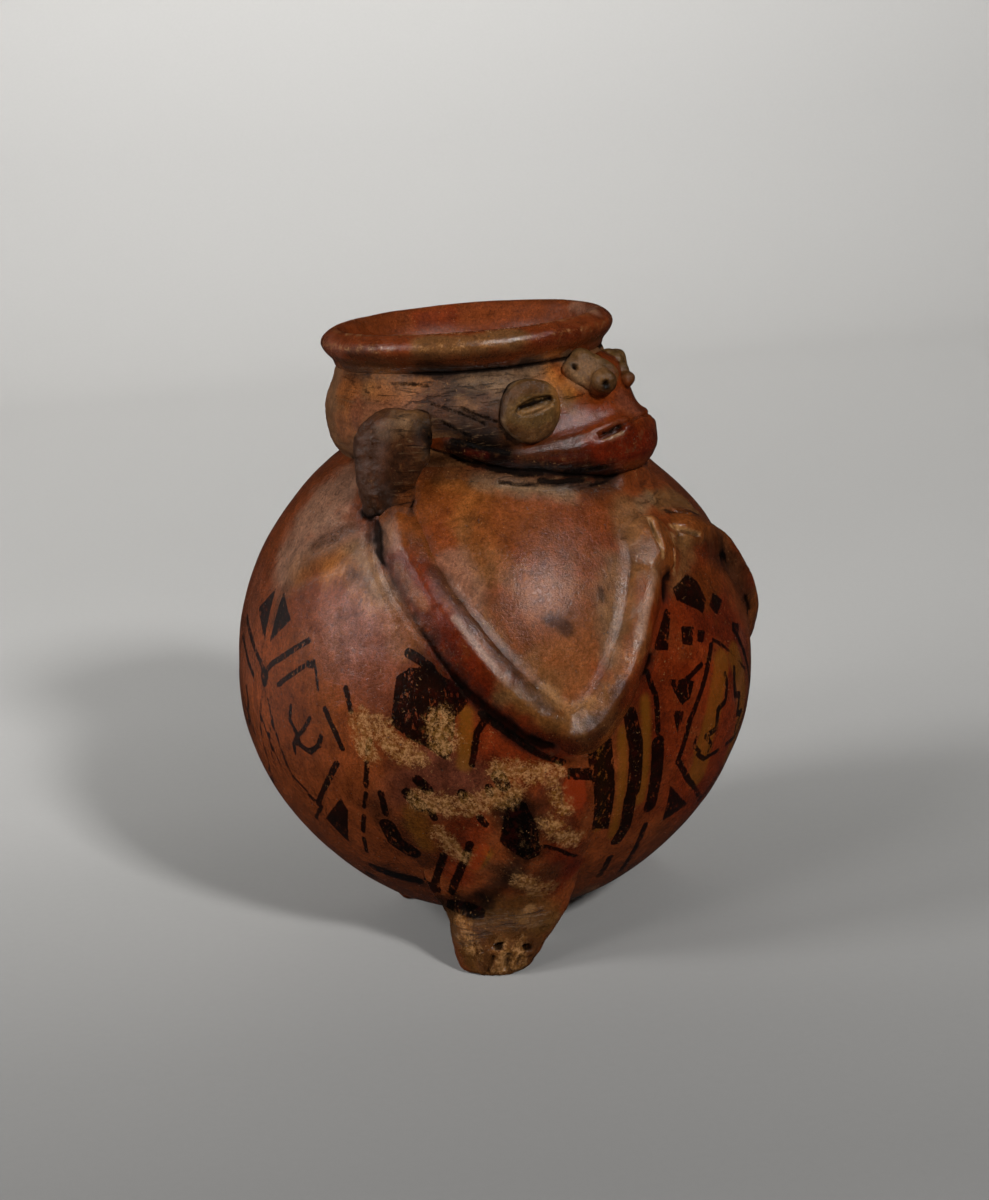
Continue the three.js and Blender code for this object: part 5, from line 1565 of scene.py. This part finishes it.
class Shading:
    """A material's nodes, laid down one after another."""

    def __init__(self, name):
        self.material = bpy.data.materials.new(name)
        self.material.use_nodes = True
        self.tree = self.material.node_tree
        self.surface = self.tree.nodes["Principled BSDF"]
        self.place = self.scaled(self.node("ShaderNodeTexCoord").outputs["Object"], (1 / METRES,) * 3)

    def node(self, kind, **settings):
        made = self.tree.nodes.new(kind)
        for key, value in settings.items():
            setattr(made, key, value)
        return made

    def feed(self, socket, value):
        if isinstance(value, bpy.types.NodeSocket):
            self.tree.links.new(value, socket)
        else:
            socket.default_value = value

    def finish(self, **inputs):
        """Sets the surface's own inputs, whose names have spaces for underscores."""
        for name, value in inputs.items():
            self.feed(self.surface.inputs[name.replace("_", " ")], value)

    def scaled(self, vector, factors):
        made = self.node("ShaderNodeVectorMath", operation="MULTIPLY")
        self.feed(made.inputs[0], vector)
        made.inputs[1].default_value = factors
        return made.outputs[0]

    def math(self, operation, first, *others):
        """One operation run through all the values, from the first on."""
        for other in others:
            made = self.node("ShaderNodeMath", operation=operation)
            self.feed(made.inputs[0], first)
            self.feed(made.inputs[1], other)
            first = made.outputs[0]
        return first

    def plus(self, *values):
        return self.math("ADD", *values)

    def times(self, *values):
        return self.math("MULTIPLY", *values)

    def centred(self, value, gain):
        """How far a noise swings from its middle, times a gain."""
        return self.times(self.math("SUBTRACT", value, NOISE_MIDDLE), gain)

    def ranged(self, value, source, target, kind="LINEAR"):
        made = self.node("ShaderNodeMapRange", interpolation_type=kind)
        self.feed(made.inputs["Value"], value)
        names = ("From Min", "From Max", "To Min", "To Max")
        for name, limit in zip(names, (*source, *target)):
            made.inputs[name].default_value = limit
        return made.outputs[0]

    def step(self, value, low, high):
        """0 at low, 1 at high and smooth between; low may be the larger."""
        source, target = ((low, high), (0, 1)) if low < high else ((high, low), (1, 0))
        return self.ranged(value, source, target, "SMOOTHSTEP")

    def noise(self, size, detail=4, rough=0.55, stretch=(1, 1, 1), warp=0):
        made = self.node("ShaderNodeTexNoise")
        self.feed(made.inputs["Vector"], self.scaled(self.place, stretch))
        settings = {"Scale": 1 / size, "Detail": detail, "Roughness": rough, "Distortion": warp}
        for name, value in settings.items():
            made.inputs[name].default_value = value
        return made.outputs[0]

    def cracks(self, size):
        """Distance from the edges of cells about size across."""
        made = self.node("ShaderNodeTexVoronoi", feature="DISTANCE_TO_EDGE")
        self.feed(made.inputs["Vector"], self.place)
        made.inputs["Scale"].default_value = 1 / size
        return made.outputs["Distance"]

    def written(self, name, output="Fac"):
        """What was written on the corners under a name."""
        return self.node("ShaderNodeAttribute", attribute_name=name).outputs[output]

    def mix(self, share, a, b, blend="MIX"):
        made = self.node("ShaderNodeMix", data_type="RGBA", blend_type=blend)
        for place, value in ((0, share), (6, a), (7, b)):
            self.feed(made.inputs[place], value)
        return made.outputs[2]

    def shade(self, colour, value, low, high):
        """Colour times a grey that runs from low to high with a noise."""
        return self.mix(1.0, colour, self.ranged(value, NOISE_SPAN, (low, high)), "MULTIPLY")


def rgba(name, factor=1.0):
    return (*(tone(name) * factor), 1.0)


NOISE_MIDDLE = 0.5
NOISE_SPAN = (0.3, 0.7)
# Noises in the clay: size in millimetres, detail, roughness, stretch, distortion
GRAINS = {
    "broad": (12, 4), "middle": (3.4, 6, 0.62), "fine": (0.8, 5, 0.68), "speck": (0.4, 4, 0.75),
    "fleck": (1.7, 6, 0.75), "bloom": (6.5, 7, 0.68, (1.2, 1.2, 0.9)), "wander": (2.1, 4, 0.6),
    "frayed": (0.55, 5, 0.75), "brushed": (1.1, 6, 0.7, (1, 1, 0.45)), "ink": (2.6, 5, 0.7), "pale": (0.9, 4),
    "dust": (0.6, 3), "drift": (7, 3), "pits": (0.9, 3, 0.6, (1.1, 0.9, 1)), "caked": (2.4, 5),
    "scratch": (1.0, 6, 0.68, (0.16, 0.16, 1), 0.9),
}
STREAK_GRAIN = (1.5, 5, 0.6)
STREAK_WARP = 0.4
CRACKLE_SIZE = 1.25
# How much each noise darkens and lightens the slip, and whether a slot's mottling scales it
MOTTLING = {
    "broad": (0.16, 0.16, True), "middle": (0.36, 0.32, True), "streak": (0.16, 0.16, True),
    "fine": (0.34, 0.32, False), "speck": (0.18, 0.16, False),
}
# Where each mark starts and where it is full: a noise's value, or millimetres outside a shape
STEPS = {
    "fleck": (0.53, 0.66), "bloom": (0.56, 0.72), "kept": (0.35, 0.43), "ochre": (0.9, -0.9),
    "orange": (0.5, -0.4), "black": (0.2, -0.1), "wine": (0.5, 0.64), "rubbed": (2.2, -1.6),
    "held": (0.05, 0.6), "rub": (0.46, 0.84), "pale": (0.4, 0.6), "drift": (0.44, 0.62),
    "dust": (0.62, 0.74), "pits": (0.34, 0.26), "valley": (0.46, 0.36), "ridge": (0.55, 0.68),
    "shaded_gouge": (0.3, -0.25), "proud": (-0.03, -0.22), "caked": (0.3, 0.62), "met": (2.8, 0.4),
    "sunk": (0.04, 0.35), "core": (0.95, 0.25), "crackle": (0.0, 0.12),
}
# Each stain: how much it covers, its tone and how much lighter than that it is
STAINS = {
    "fleck": (0.55, "deep", 0.7), "bloom": (0.2, "sienna", 1.3), "ochre": (0.42, "mustard", 0.9),
    "orange": (0.7, "rust", 1.7), "dust": (0.5, "tan", 1.2), "pits": (0.7, "char", 1),
    # The char of the gouges and of the crevices' core is painted shade; the soot where pieces meet and in
    # hollows is grime and painted shade
    "valley": (0.7, "soot", 0.8), "ridge": (0.45, "drab", 1.1), "shaded_gouge": (0.92, "char", 0.6),
    "proud": (0.12, "tan", 1), "dirt_and_shade": (1, "soot", 0.8), "core": (0.92, "char", 0.5),
}
INKS = (("char", 0.22), ("wine", 0.2))
BARE_CLAYS = (("tan", 1.3), ("ochre", 1.2))
# How far edges wander and fray in millimetres, and the share of that which each mark takes
WANDER = 1.0
FRAYING = 0.8
INK_RAGGED = 0.65
INK_COVER = 0.94
INK_THINNING = 0.3
RUB_WANDER = 5.2
RUB_COVER = 0.72
RUB_CLUMPING = 0.9
RUB_HELP = 0.2
GOUGE_FRAYING = 1.4
GOUGE_WANDER = 0.8
CORE_WANDER = 0.7
# Grime and painted shade, darker where pieces meet and in hollows: the least of it, its shares there, and its
# limit
LEAST_CAKED = 0.25
MET_SHARE = 0.55
SUNK_SHARE = 0.5
MOST_DIRT_AND_SHADE = 0.85
# What each mark adds to the roughness, and to the height in millimetres
ROUGHENING = {"rub": 0.3, "dirt_and_shade": 0.35, "pits": 0.2, "scored": 0.16, "black": -0.04, "matte": 0.32}
MIDDLE_ROUGHENING = 0.4
ROUGHNESS_LIMITS = (0.16, 0.95)
MOST_DULL = 0.9
CLAY_IOR = 1.5
SLOT_RELIEF = {"fine": 0.09, "streak": 0.07, "middle": 0.13}
RELIEF = {
    "crackle": 0.016, "speck": 0.04, "pits": -0.06, "rub": -0.035, "valley": -0.16, "ridge": 0.1,
    "shaded_gouge": -0.25, "black": 0.01,
}


class Clay(Shading):
    """Fired clay: a toned slip with paint, rubbed places, scratches, grime and painted shade over it."""

    def __init__(self, name, roughness, streaks, mottle, gloss, relief):
        super().__init__(name)
        self.marks = {grain: self.noise(*settings) for grain, settings in GRAINS.items()}
        self.marks["streak"] = self.noise(*STREAK_GRAIN, streaks, STREAK_WARP)
        self.marks["scored"], self.marks["matte"] = self.written("scored"), self.written("matte")
        self.wander = self.centred(self.marks["wander"], WANDER)
        self.frayed = self.centred(self.marks["frayed"], FRAYING)
        self.coat = self.written("tone", "Color")
        self.slip(mottle)
        self.paint()
        self.wear()
        self.scratches()
        self.grime_and_shade()
        self.burnish(roughness, gloss)
        self.relief(relief)

    def mark(self, name, value, *covers):
        """Keeps how fully a mark covers: its step, times what holds it back."""
        self.marks[name] = self.times(self.step(value, *STEPS[name]), *covers)
        return self.marks[name]

    def stain(self, name, strength=1.0):
        cover, tint, factor = STAINS[name]
        self.coat = self.mix(self.times(self.marks[name], cover * strength), self.coat, rgba(tint, factor))

    def slip(self, mottle):
        for name, (darker, lighter, by_slot) in MOTTLING.items():
            gain = mottle if by_slot else 1
            self.coat = self.shade(self.coat, self.marks[name], 1 - darker * gain, 1 + lighter * gain)
        self.clumps = self.marks["fleck"]
        for name in ("fleck", "bloom"):
            self.mark(name, self.marks[name])
            self.stain(name, mottle)

    def paint(self):
        thinning = self.centred(self.marks["broad"], INK_THINNING)
        kept = self.mark("kept", self.plus(self.marks["brushed"], thinning))
        for name in ("ochre", "orange"):
            self.mark(name, self.plus(self.written(name), self.wander))
            self.stain(name)
        ragged = self.times(self.plus(self.wander, self.frayed), INK_RAGGED)
        self.mark("black", self.plus(self.written("black"), ragged), kept, INK_COVER)
        self.mark("wine", self.marks["ink"])
        ink = self.mix(self.marks["wine"], *(rgba(*tint) for tint in INKS))
        self.coat = self.mix(self.marks["black"], self.coat, ink)

    def wear(self):
        loose = self.plus(self.times(self.wander, RUB_WANDER), self.frayed)
        rubbed = self.mark("rubbed", self.plus(self.written("worn"), loose))
        clump = self.plus(self.marks["speck"], self.centred(self.clumps, RUB_CLUMPING))
        held = self.mark("held", rubbed)
        self.mark("rub", self.plus(clump, self.times(rubbed, RUB_HELP)), held, RUB_COVER)
        self.mark("pale", self.marks["pale"])
        bare = self.mix(self.marks["pale"], *(rgba(*tint) for tint in BARE_CLAYS))
        self.coat = self.mix(self.marks["rub"], self.coat, bare)
        self.mark("dust", self.marks["dust"], self.mark("drift", self.marks["drift"]))
        self.mark("pits", self.marks["pits"])
        self.stain("dust")
        self.stain("pits")

    def scratches(self):
        for name in ("valley", "ridge"):
            self.mark(name, self.marks["scratch"], self.marks["scored"])
            self.stain(name)
        # Gouges, slits and holes: dented in the bump and painted dark as shade
        torn = self.plus(self.times(self.frayed, GOUGE_FRAYING), self.times(self.wander, GOUGE_WANDER))
        self.mark("shaded_gouge", self.plus(self.written("shaded_gouge"), torn))
        self.stain("shaded_gouge")

    def grime_and_shade(self):
        hollow, crevice = self.written("hollow"), self.written("crevice")
        self.mark("proud", hollow, self.marks["fleck"])
        self.stain("proud")
        # Darker where pieces meet and in hollows, patchy with a noise: grime and painted shade
        caked = self.plus(self.mark("caked", self.marks["caked"]), LEAST_CAKED)
        dirt_and_shade = self.plus(self.mark("met", crevice, MET_SHARE), self.mark("sunk", hollow, SUNK_SHARE))
        self.marks["dirt_and_shade"] = self.math("MINIMUM", self.times(dirt_and_shade, caked), MOST_DIRT_AND_SHADE)
        self.stain("dirt_and_shade")
        # A black core close along where pieces meet: painted shade in the crevice
        self.mark("core", self.plus(crevice, self.times(self.wander, CORE_WANDER)))
        self.stain("core")
        self.finish(Base_Color=self.coat)

    def burnish(self, roughness, gloss):
        """How rough and how glossy the clay is, place by place."""
        rough = self.plus(roughness, self.centred(self.marks["middle"], MIDDLE_ROUGHENING))
        for name, strength in ROUGHENING.items():
            rough = self.plus(rough, self.times(self.marks[name], strength))
        least, most = ROUGHNESS_LIMITS
        rough = self.math("MINIMUM", self.math("MAXIMUM", rough, least), most)
        dull = self.math("MAXIMUM", *(self.marks[name] for name in ("matte", "shaded_gouge", "core", "dirt_and_shade")))
        shine = self.math("SUBTRACT", 1.0, self.times(dull, MOST_DULL))
        self.finish(Roughness=rough, Specular_IOR_Level=self.times(gloss, shine), IOR=CLAY_IOR)

    def relief(self, gain):
        """Fine bumps and pits, too small for the mesh."""
        self.mark("crackle", self.cracks(CRACKLE_SIZE))
        heights = {**{name: tall * gain for name, tall in SLOT_RELIEF.items()}, **RELIEF}
        height = self.plus(*(self.times(self.marks[name], tall) for name, tall in heights.items()))
        bump = self.node("ShaderNodeBump")
        bump.inputs["Strength"].default_value = 1.0
        bump.inputs["Distance"].default_value = METRES
        self.feed(bump.inputs["Height"], height)
        self.finish(Normal=bump.outputs[0])


# Each slot: roughness, stretch of its streaks, mottling, gloss and relief
UPRIGHT, LEVEL = (1, 1, 0.16), (0.12, 0.12, 1)
SLOTS = {
    "burnished_slip": (0.18, UPRIGHT, 1.0, 0.3, 1.0), "red_slip": (0.16, LEVEL, 0.9, 0.34, 1.0),
    "smoothed_clay": (0.42, LEVEL, 1.1, 0.24, 1.6), "grimed_clay": (0.34, UPRIGHT, 1.1, 0.2, 2.1),
    "worn_clay": (0.28, UPRIGHT, 1.0, 0.24, 1.0),
}
MATERIALS = {name: Clay(name, *settings).material for name, settings in SLOTS.items()}


# Dressing the pieces

# Each pair or set of pieces, its slot and its base tone
SETS = {
    "eye": (eyes, "grimed_clay", "eye_clay"), "nose": (noses, "grimed_clay", "eye_clay"),
    "lug": (lugs, "grimed_clay", "olive_dark"), "arm": (arms, "burnished_slip", "sienna"),
    "leg": (legs, "worn_clay", "brick"),
}
# Each piece: its mesh, the node that it stands for, its slot and its base tone
PIECES = [
    (body, "body_shell", "burnished_slip", "brick"), (neck, "neck_collar", "smoothed_clay", "neck_clay"),
    (rim, "rim_lip", "red_slip", "rim_red"), (muzzle, "muzzle", "red_slip", "snout_red"),
    *((piece, f"{kind}_{hand}", slot, base)
      for kind, (pieces, slot, base) in SETS.items() for hand, piece in pieces.items()),
]
# Which pieces meet, so that grime and painted shade darken the clay between them
LUGS = ["lug_right", "lug_left"]
MEETING = {
    "body_shell": ["neck_collar", "muzzle", "arm_right", "arm_left", *LUGS],
    "neck_collar": ["rim_lip", "body_shell", "eye_right", "eye_left", *LUGS],
    "rim_lip": ["neck_collar", "nose_right", "nose_left"], "muzzle": ["body_shell"],
    "eye": ["neck_collar", "muzzle"], "nose": ["rim_lip"], "lug": ["neck_collar", "body_shell"],
    "arm": ["body_shell"], "leg": [],
}
# Where arms and body meet, grime and painted shade lie deep only along these pixels of the photograph
DEEP = [
    (4, [(362, 516), (392, 560), (420, 612), (452, 660), (484, 702), (512, 732), (545, 752)]),
    (4, [(668, 600), (664, 575)]), (4, [(420, 470), (500, 476), (600, 474), (650, 462)]),
    (5, [(412, 450), (408, 490), (396, 512)]), (4, [(752, 600), (744, 612)]), (4, [(330, 440), (350, 452)]),
    (5, [(416, 364), (480, 367), (558, 360)]), (4, [(462, 452), (520, 470), (610, 470)]),
]
DEEP_CORE = 0.5
# How much shallower grime and painted shade lie off those places, in millimetres, and on which pieces
SHALLOW = 1.9
SHALLOWED = ("body_shell", "neck_collar", "rim_lip", "arm_right", "arm_left")
# The rim's rubbed edges: reach and height shares
RIM_EDGES = [(0.905, 0.99), (0.99, 0.7)]
RIM_WEAR_INSET = 0.4
PAINTED = ("body_shell", "leg_right", "leg_left", "leg_rear")
# What is painted or rubbed: its lines and its patches, with where they repeat
PAINT = {
    "black": ([(SIDE_LINES, SIDE_COPIES), (DASH_LINES, SIDE_COPIES[:3]), (FRONT_LINES, FRONT_LINE_COPIES),
               (TOP_LINES, FRONT_COPIES), (STRIPES, STRIPE_COPIES), (CENTRE_LINES, CENTRE_COPIES)],
              [(SIDE_PATCHES, SIDE_COPIES), (FRONT_PATCHES, FRONT_COPIES), (CENTRE_PATCHES, CENTRE_COPIES)]),
    "ochre": ([(OCHRE_LINES, FRONT_LINE_COPIES)],),
    "orange": ([(ORANGE_LINES, CENTRE_COPIES)],),
    "worn": ([(WORN_LINES, CENTRE_COPIES)],),
}


def shaded_gouge_distance(points, trees):
    """Distance in millimetres outside the gouges, which are painted dark as shade in the grooves."""
    best = np.full(len(points), PAINT_REACH)
    for half, pixels in GOUGES + NECK_GOUGES + FOOT_HOLES:
        line = seen_line(trees, pixels)
        for spots in (line, line * MIRROR):
            near_line(points, spots, half, best)
    return best


def rim_wear(points):
    """Distance in millimetres from the rim's rubbed edges."""
    reach = np.linalg.norm(points[:, :2], axis=1)
    away = [np.hypot(reach - RIM_RADIUS * edge, points[:, 2] - RIM_FOOT - RIM_HEIGHT * up)
            for edge, up in RIM_EDGES]
    return np.min(away, axis=0) + RIM_WEAR_INSET


def paint_away(name, node, points):
    """Distance in millimetres outside one kind of paint or wear."""
    if node in PAINTED:
        globe = unit(points - (0, 0, BODY_CENTRE)) * BODY_RADIUS
        return paint_distance(globe, canvas, *PAINT[name])
    if node == "rim_lip" and name == "worn":
        return rim_wear(points)
    return np.full(len(points), PAINT_REACH)


def grime_and_shade_distance(node, points):
    """Distance in millimetres from the clay that a piece meets, more where grime and painted shade lie
    shallow.
    """
    meeting = MEETING[node] if node in MEETING else MEETING[node.split("_")[0]]
    away = crevice(points, [(trees[other], bounds[other]) for other in meeting])
    if node in SHALLOWED:
        away = away + SHALLOW * (1 - spread_over(points, canvas, DEEP, DEEP_CORE))
    return away


def dress(piece, node, slot, base):
    """Writes a piece's tones and marks on its corners, and gives it its clay and its place in the frame."""
    points = corners(piece) / METRES
    write_colour(piece, "tone", tinted(points, base, dabs))
    for name in PAINT:
        write_number(piece, name, paint_away(name, node, points))
    write_number(piece, "scored", spread_over(points, canvas, SCORED))
    write_number(piece, "matte", spread_over(points, canvas, MATTE))
    write_number(piece, "shaded_gouge", shaded_gouge_distance(points, canvas))
    write_number(piece, "crevice", grime_and_shade_distance(node, points))
    write_number(piece, "hollow", hollowness(piece))
    piece.data.materials.clear()
    piece.data.materials.append(MATERIALS[slot])
    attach(piece, "root")
    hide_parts(node)


trees = {node: surface(piece)[0] for piece, node, _, _ in PIECES}
bounds = {}
for piece, node, _, _ in PIECES:
    taken = corners(piece) / METRES
    bounds[node] = (taken.min(0), taken.max(0))
canvas = list(trees.values())
dabs = all_dabs(canvas)
for row in PIECES:
    dress(*row)


# Floor and backdrop

FLOOR_HALF = 3.0
SWEEP_BEHIND = 1.0
SWEEP_HEIGHT = 2.4
SWEEP_CURVE = 0.5
# The paper's tone, by its distance in metres behind the pot: painted light, darker towards the front
FLOOR_PAINTED_LIGHT = [
    (-0.6, 0.165), (-0.15, 0.205), (-0.08, 0.255), (-0.04, 0.298), (0.04, 0.39), (0.1, 0.49), (0.2, 0.565),
    (0.35, 0.59), (0.6, 0.61), (0.9, 0.62), (1.2, 0.62), (1.5, 0.64), (1.7, 0.69), (2.4, 0.74),
]
FLOOR_WARMTH = (1.0, 0.985, 0.955)
# How much paler the paper is painted to the left: painted light
PAINTED_LIGHT_LEFT = 0.15
SWEEP_SEGMENTS = 40
PAPER_FLECK = 0.05
PAPER_GRAIN = (2, 6)
PAPER_ROUGHNESS = 0.9
PAPER_GLOSS = 0.2


def select_edges(sheet, wanted):
    """Selects the edges that have both ends where wanted says."""
    for edge in sheet.data.edges:
        ends = [sheet.data.vertices[i] for i in edge.vertices]
        edge.select = all(wanted(end.co) for end in ends)
        for end in ends:
            end.select = end.select or edge.select


def edit(*steps):
    """Runs steps in edit mode, and leaves it with nothing selected."""
    bpy.ops.object.mode_set(mode="EDIT")
    for step in steps:
        step()
    bpy.ops.mesh.select_all(action="DESELECT")
    bpy.ops.object.mode_set(mode="OBJECT")


def swept_sheet():
    """A level sheet of paper that curves up behind the pot."""
    bpy.ops.object.select_all(action="DESELECT")
    bpy.ops.mesh.primitive_plane_add(size=2 * FLOOR_HALF)
    sheet = bpy.context.object
    sheet.name = "floor_sweep"
    back = SWEEP_BEHIND + SWEEP_CURVE
    edit()
    select_edges(sheet, lambda co: co.y > 0)
    for vertex in sheet.data.vertices:
        if vertex.co.y > 0:
            vertex.co.y = back
    edit(lambda: bpy.ops.mesh.extrude_region_move(TRANSFORM_OT_translate={"value": (0, 0, SWEEP_HEIGHT)}))
    select_edges(sheet, lambda co: abs(co.y - back) < METRES and co.z < METRES)
    edit(lambda: bpy.ops.mesh.bevel(offset=SWEEP_CURVE, segments=SWEEP_SEGMENTS, affect="EDGES"))
    bpy.ops.object.shade_smooth()
    sheet.rotation_euler = (0, 0, -np.radians(CAMERA_AZIMUTH))
    return sheet


def paper():
    """Pale paper with painted light: its tone runs from front to back, and a little from left to right."""
    s = Shading("floor_paper")
    parts = s.node("ShaderNodeSeparateXYZ")
    s.feed(parts.inputs[0], s.node("ShaderNodeTexCoord").outputs["Object"])
    back = s.plus(parts.outputs[1], parts.outputs[2])
    first, last = FLOOR_PAINTED_LIGHT[0][0], FLOOR_PAINTED_LIGHT[-1][0]
    ramp = s.node("ShaderNodeValToRGB")
    s.feed(ramp.inputs[0], s.math("DIVIDE", s.math("SUBTRACT", back, first), last - first))
    stops = ramp.color_ramp.elements
    while len(stops) < len(FLOOR_PAINTED_LIGHT):
        stops.new(0.5)
    for stop, (place, _) in zip(stops, FLOOR_PAINTED_LIGHT):
        stop.position = (place - first) / (last - first)
    for stop, (_, grey) in zip(stops, FLOOR_PAINTED_LIGHT):
        stop.color = (*(grey * part for part in FLOOR_WARMTH), 1)
    paler = s.math("SUBTRACT", 1.0, s.times(parts.outputs[0], PAINTED_LIGHT_LEFT))
    across = s.mix(1.0, ramp.outputs[0], paler, "MULTIPLY")
    flecked = s.mix(PAPER_FLECK, across, s.noise(*PAPER_GRAIN), "MULTIPLY")
    s.finish(Base_Color=flecked, Roughness=PAPER_ROUGHNESS, Specular_IOR_Level=PAPER_GLOSS)
    return s.material


sweep = swept_sheet()
sweep.data.materials.append(paper())
sweep.visible_glossy = False


# Lamps

def add_light(name, place, backward, size, power, glossy=False, diffuse=True):
    """A square lamp at a place in metres, with its back turned to a direction."""
    light = bpy.data.lights.new(name, "AREA")
    light.shape = "SQUARE"
    light.size = size
    light.energy = power
    lamp = bpy.data.objects.new(name, light)
    lamp.location = Vector(place)
    lamp.rotation_euler = Vector(backward).to_track_quat("Z", "Y").to_euler()
    lamp.visible_glossy = glossy
    lamp.visible_diffuse = diffuse
    bpy.context.scene.collection.objects.link(lamp)


def studio():
    """The lamps round the pot, the one that lights the paper, and a dim room."""
    middle = np.array([0, 0, BODY_CENTRE]) * METRES
    for lamps, glossy in ((LIGHTS, False), (GLINTS, True)):
        for name, (aim, away, size, power) in lamps.items():
            toward = lamp_direction(aim)
            add_light(name, middle + toward * away, toward, size, power, glossy, not glossy)
    behind = -on_axis(CAMERA_AZIMUTH, 1, 0)
    (lamp_back, lamp_up), (aim_back, aim_up), size, power = BACK_LAMP
    add_light("paper", behind * lamp_back + (0, 0, lamp_up),
              behind * (lamp_back - aim_back) + (0, 0, lamp_up - aim_up), size, power)
    world = bpy.context.scene.world or bpy.data.worlds.new("studio")
    bpy.context.scene.world = world
    world.use_nodes = True
    background = world.node_tree.nodes["Background"]
    background.inputs["Color"].default_value = WORLD_COLOUR
    background.inputs["Strength"].default_value = WORLD_STRENGTH
    bpy.context.scene.view_settings.view_transform = "Standard"


studio()


# Camera, at the photograph's place

CLIP_START = 0.02


def photo_camera():
    lens = bpy.data.cameras.new("photo_camera")
    lens.sensor_width = SENSOR
    lens.lens = FOCAL_PIXELS * SENSOR / PHOTO_HEIGHT
    lens.shift_y = CENTRE_DROP / PHOTO_HEIGHT
    lens.clip_start = CLIP_START
    camera = bpy.data.objects.new("photo_camera", lens)
    turn = Matrix(camera_axes()).transposed().to_4x4()
    camera.matrix_world = Matrix.Translation(Vector(EYE_POINT * METRES)) @ turn
    bpy.context.scene.collection.objects.link(camera)
    return camera


bpy.context.scene.camera = photo_camera()
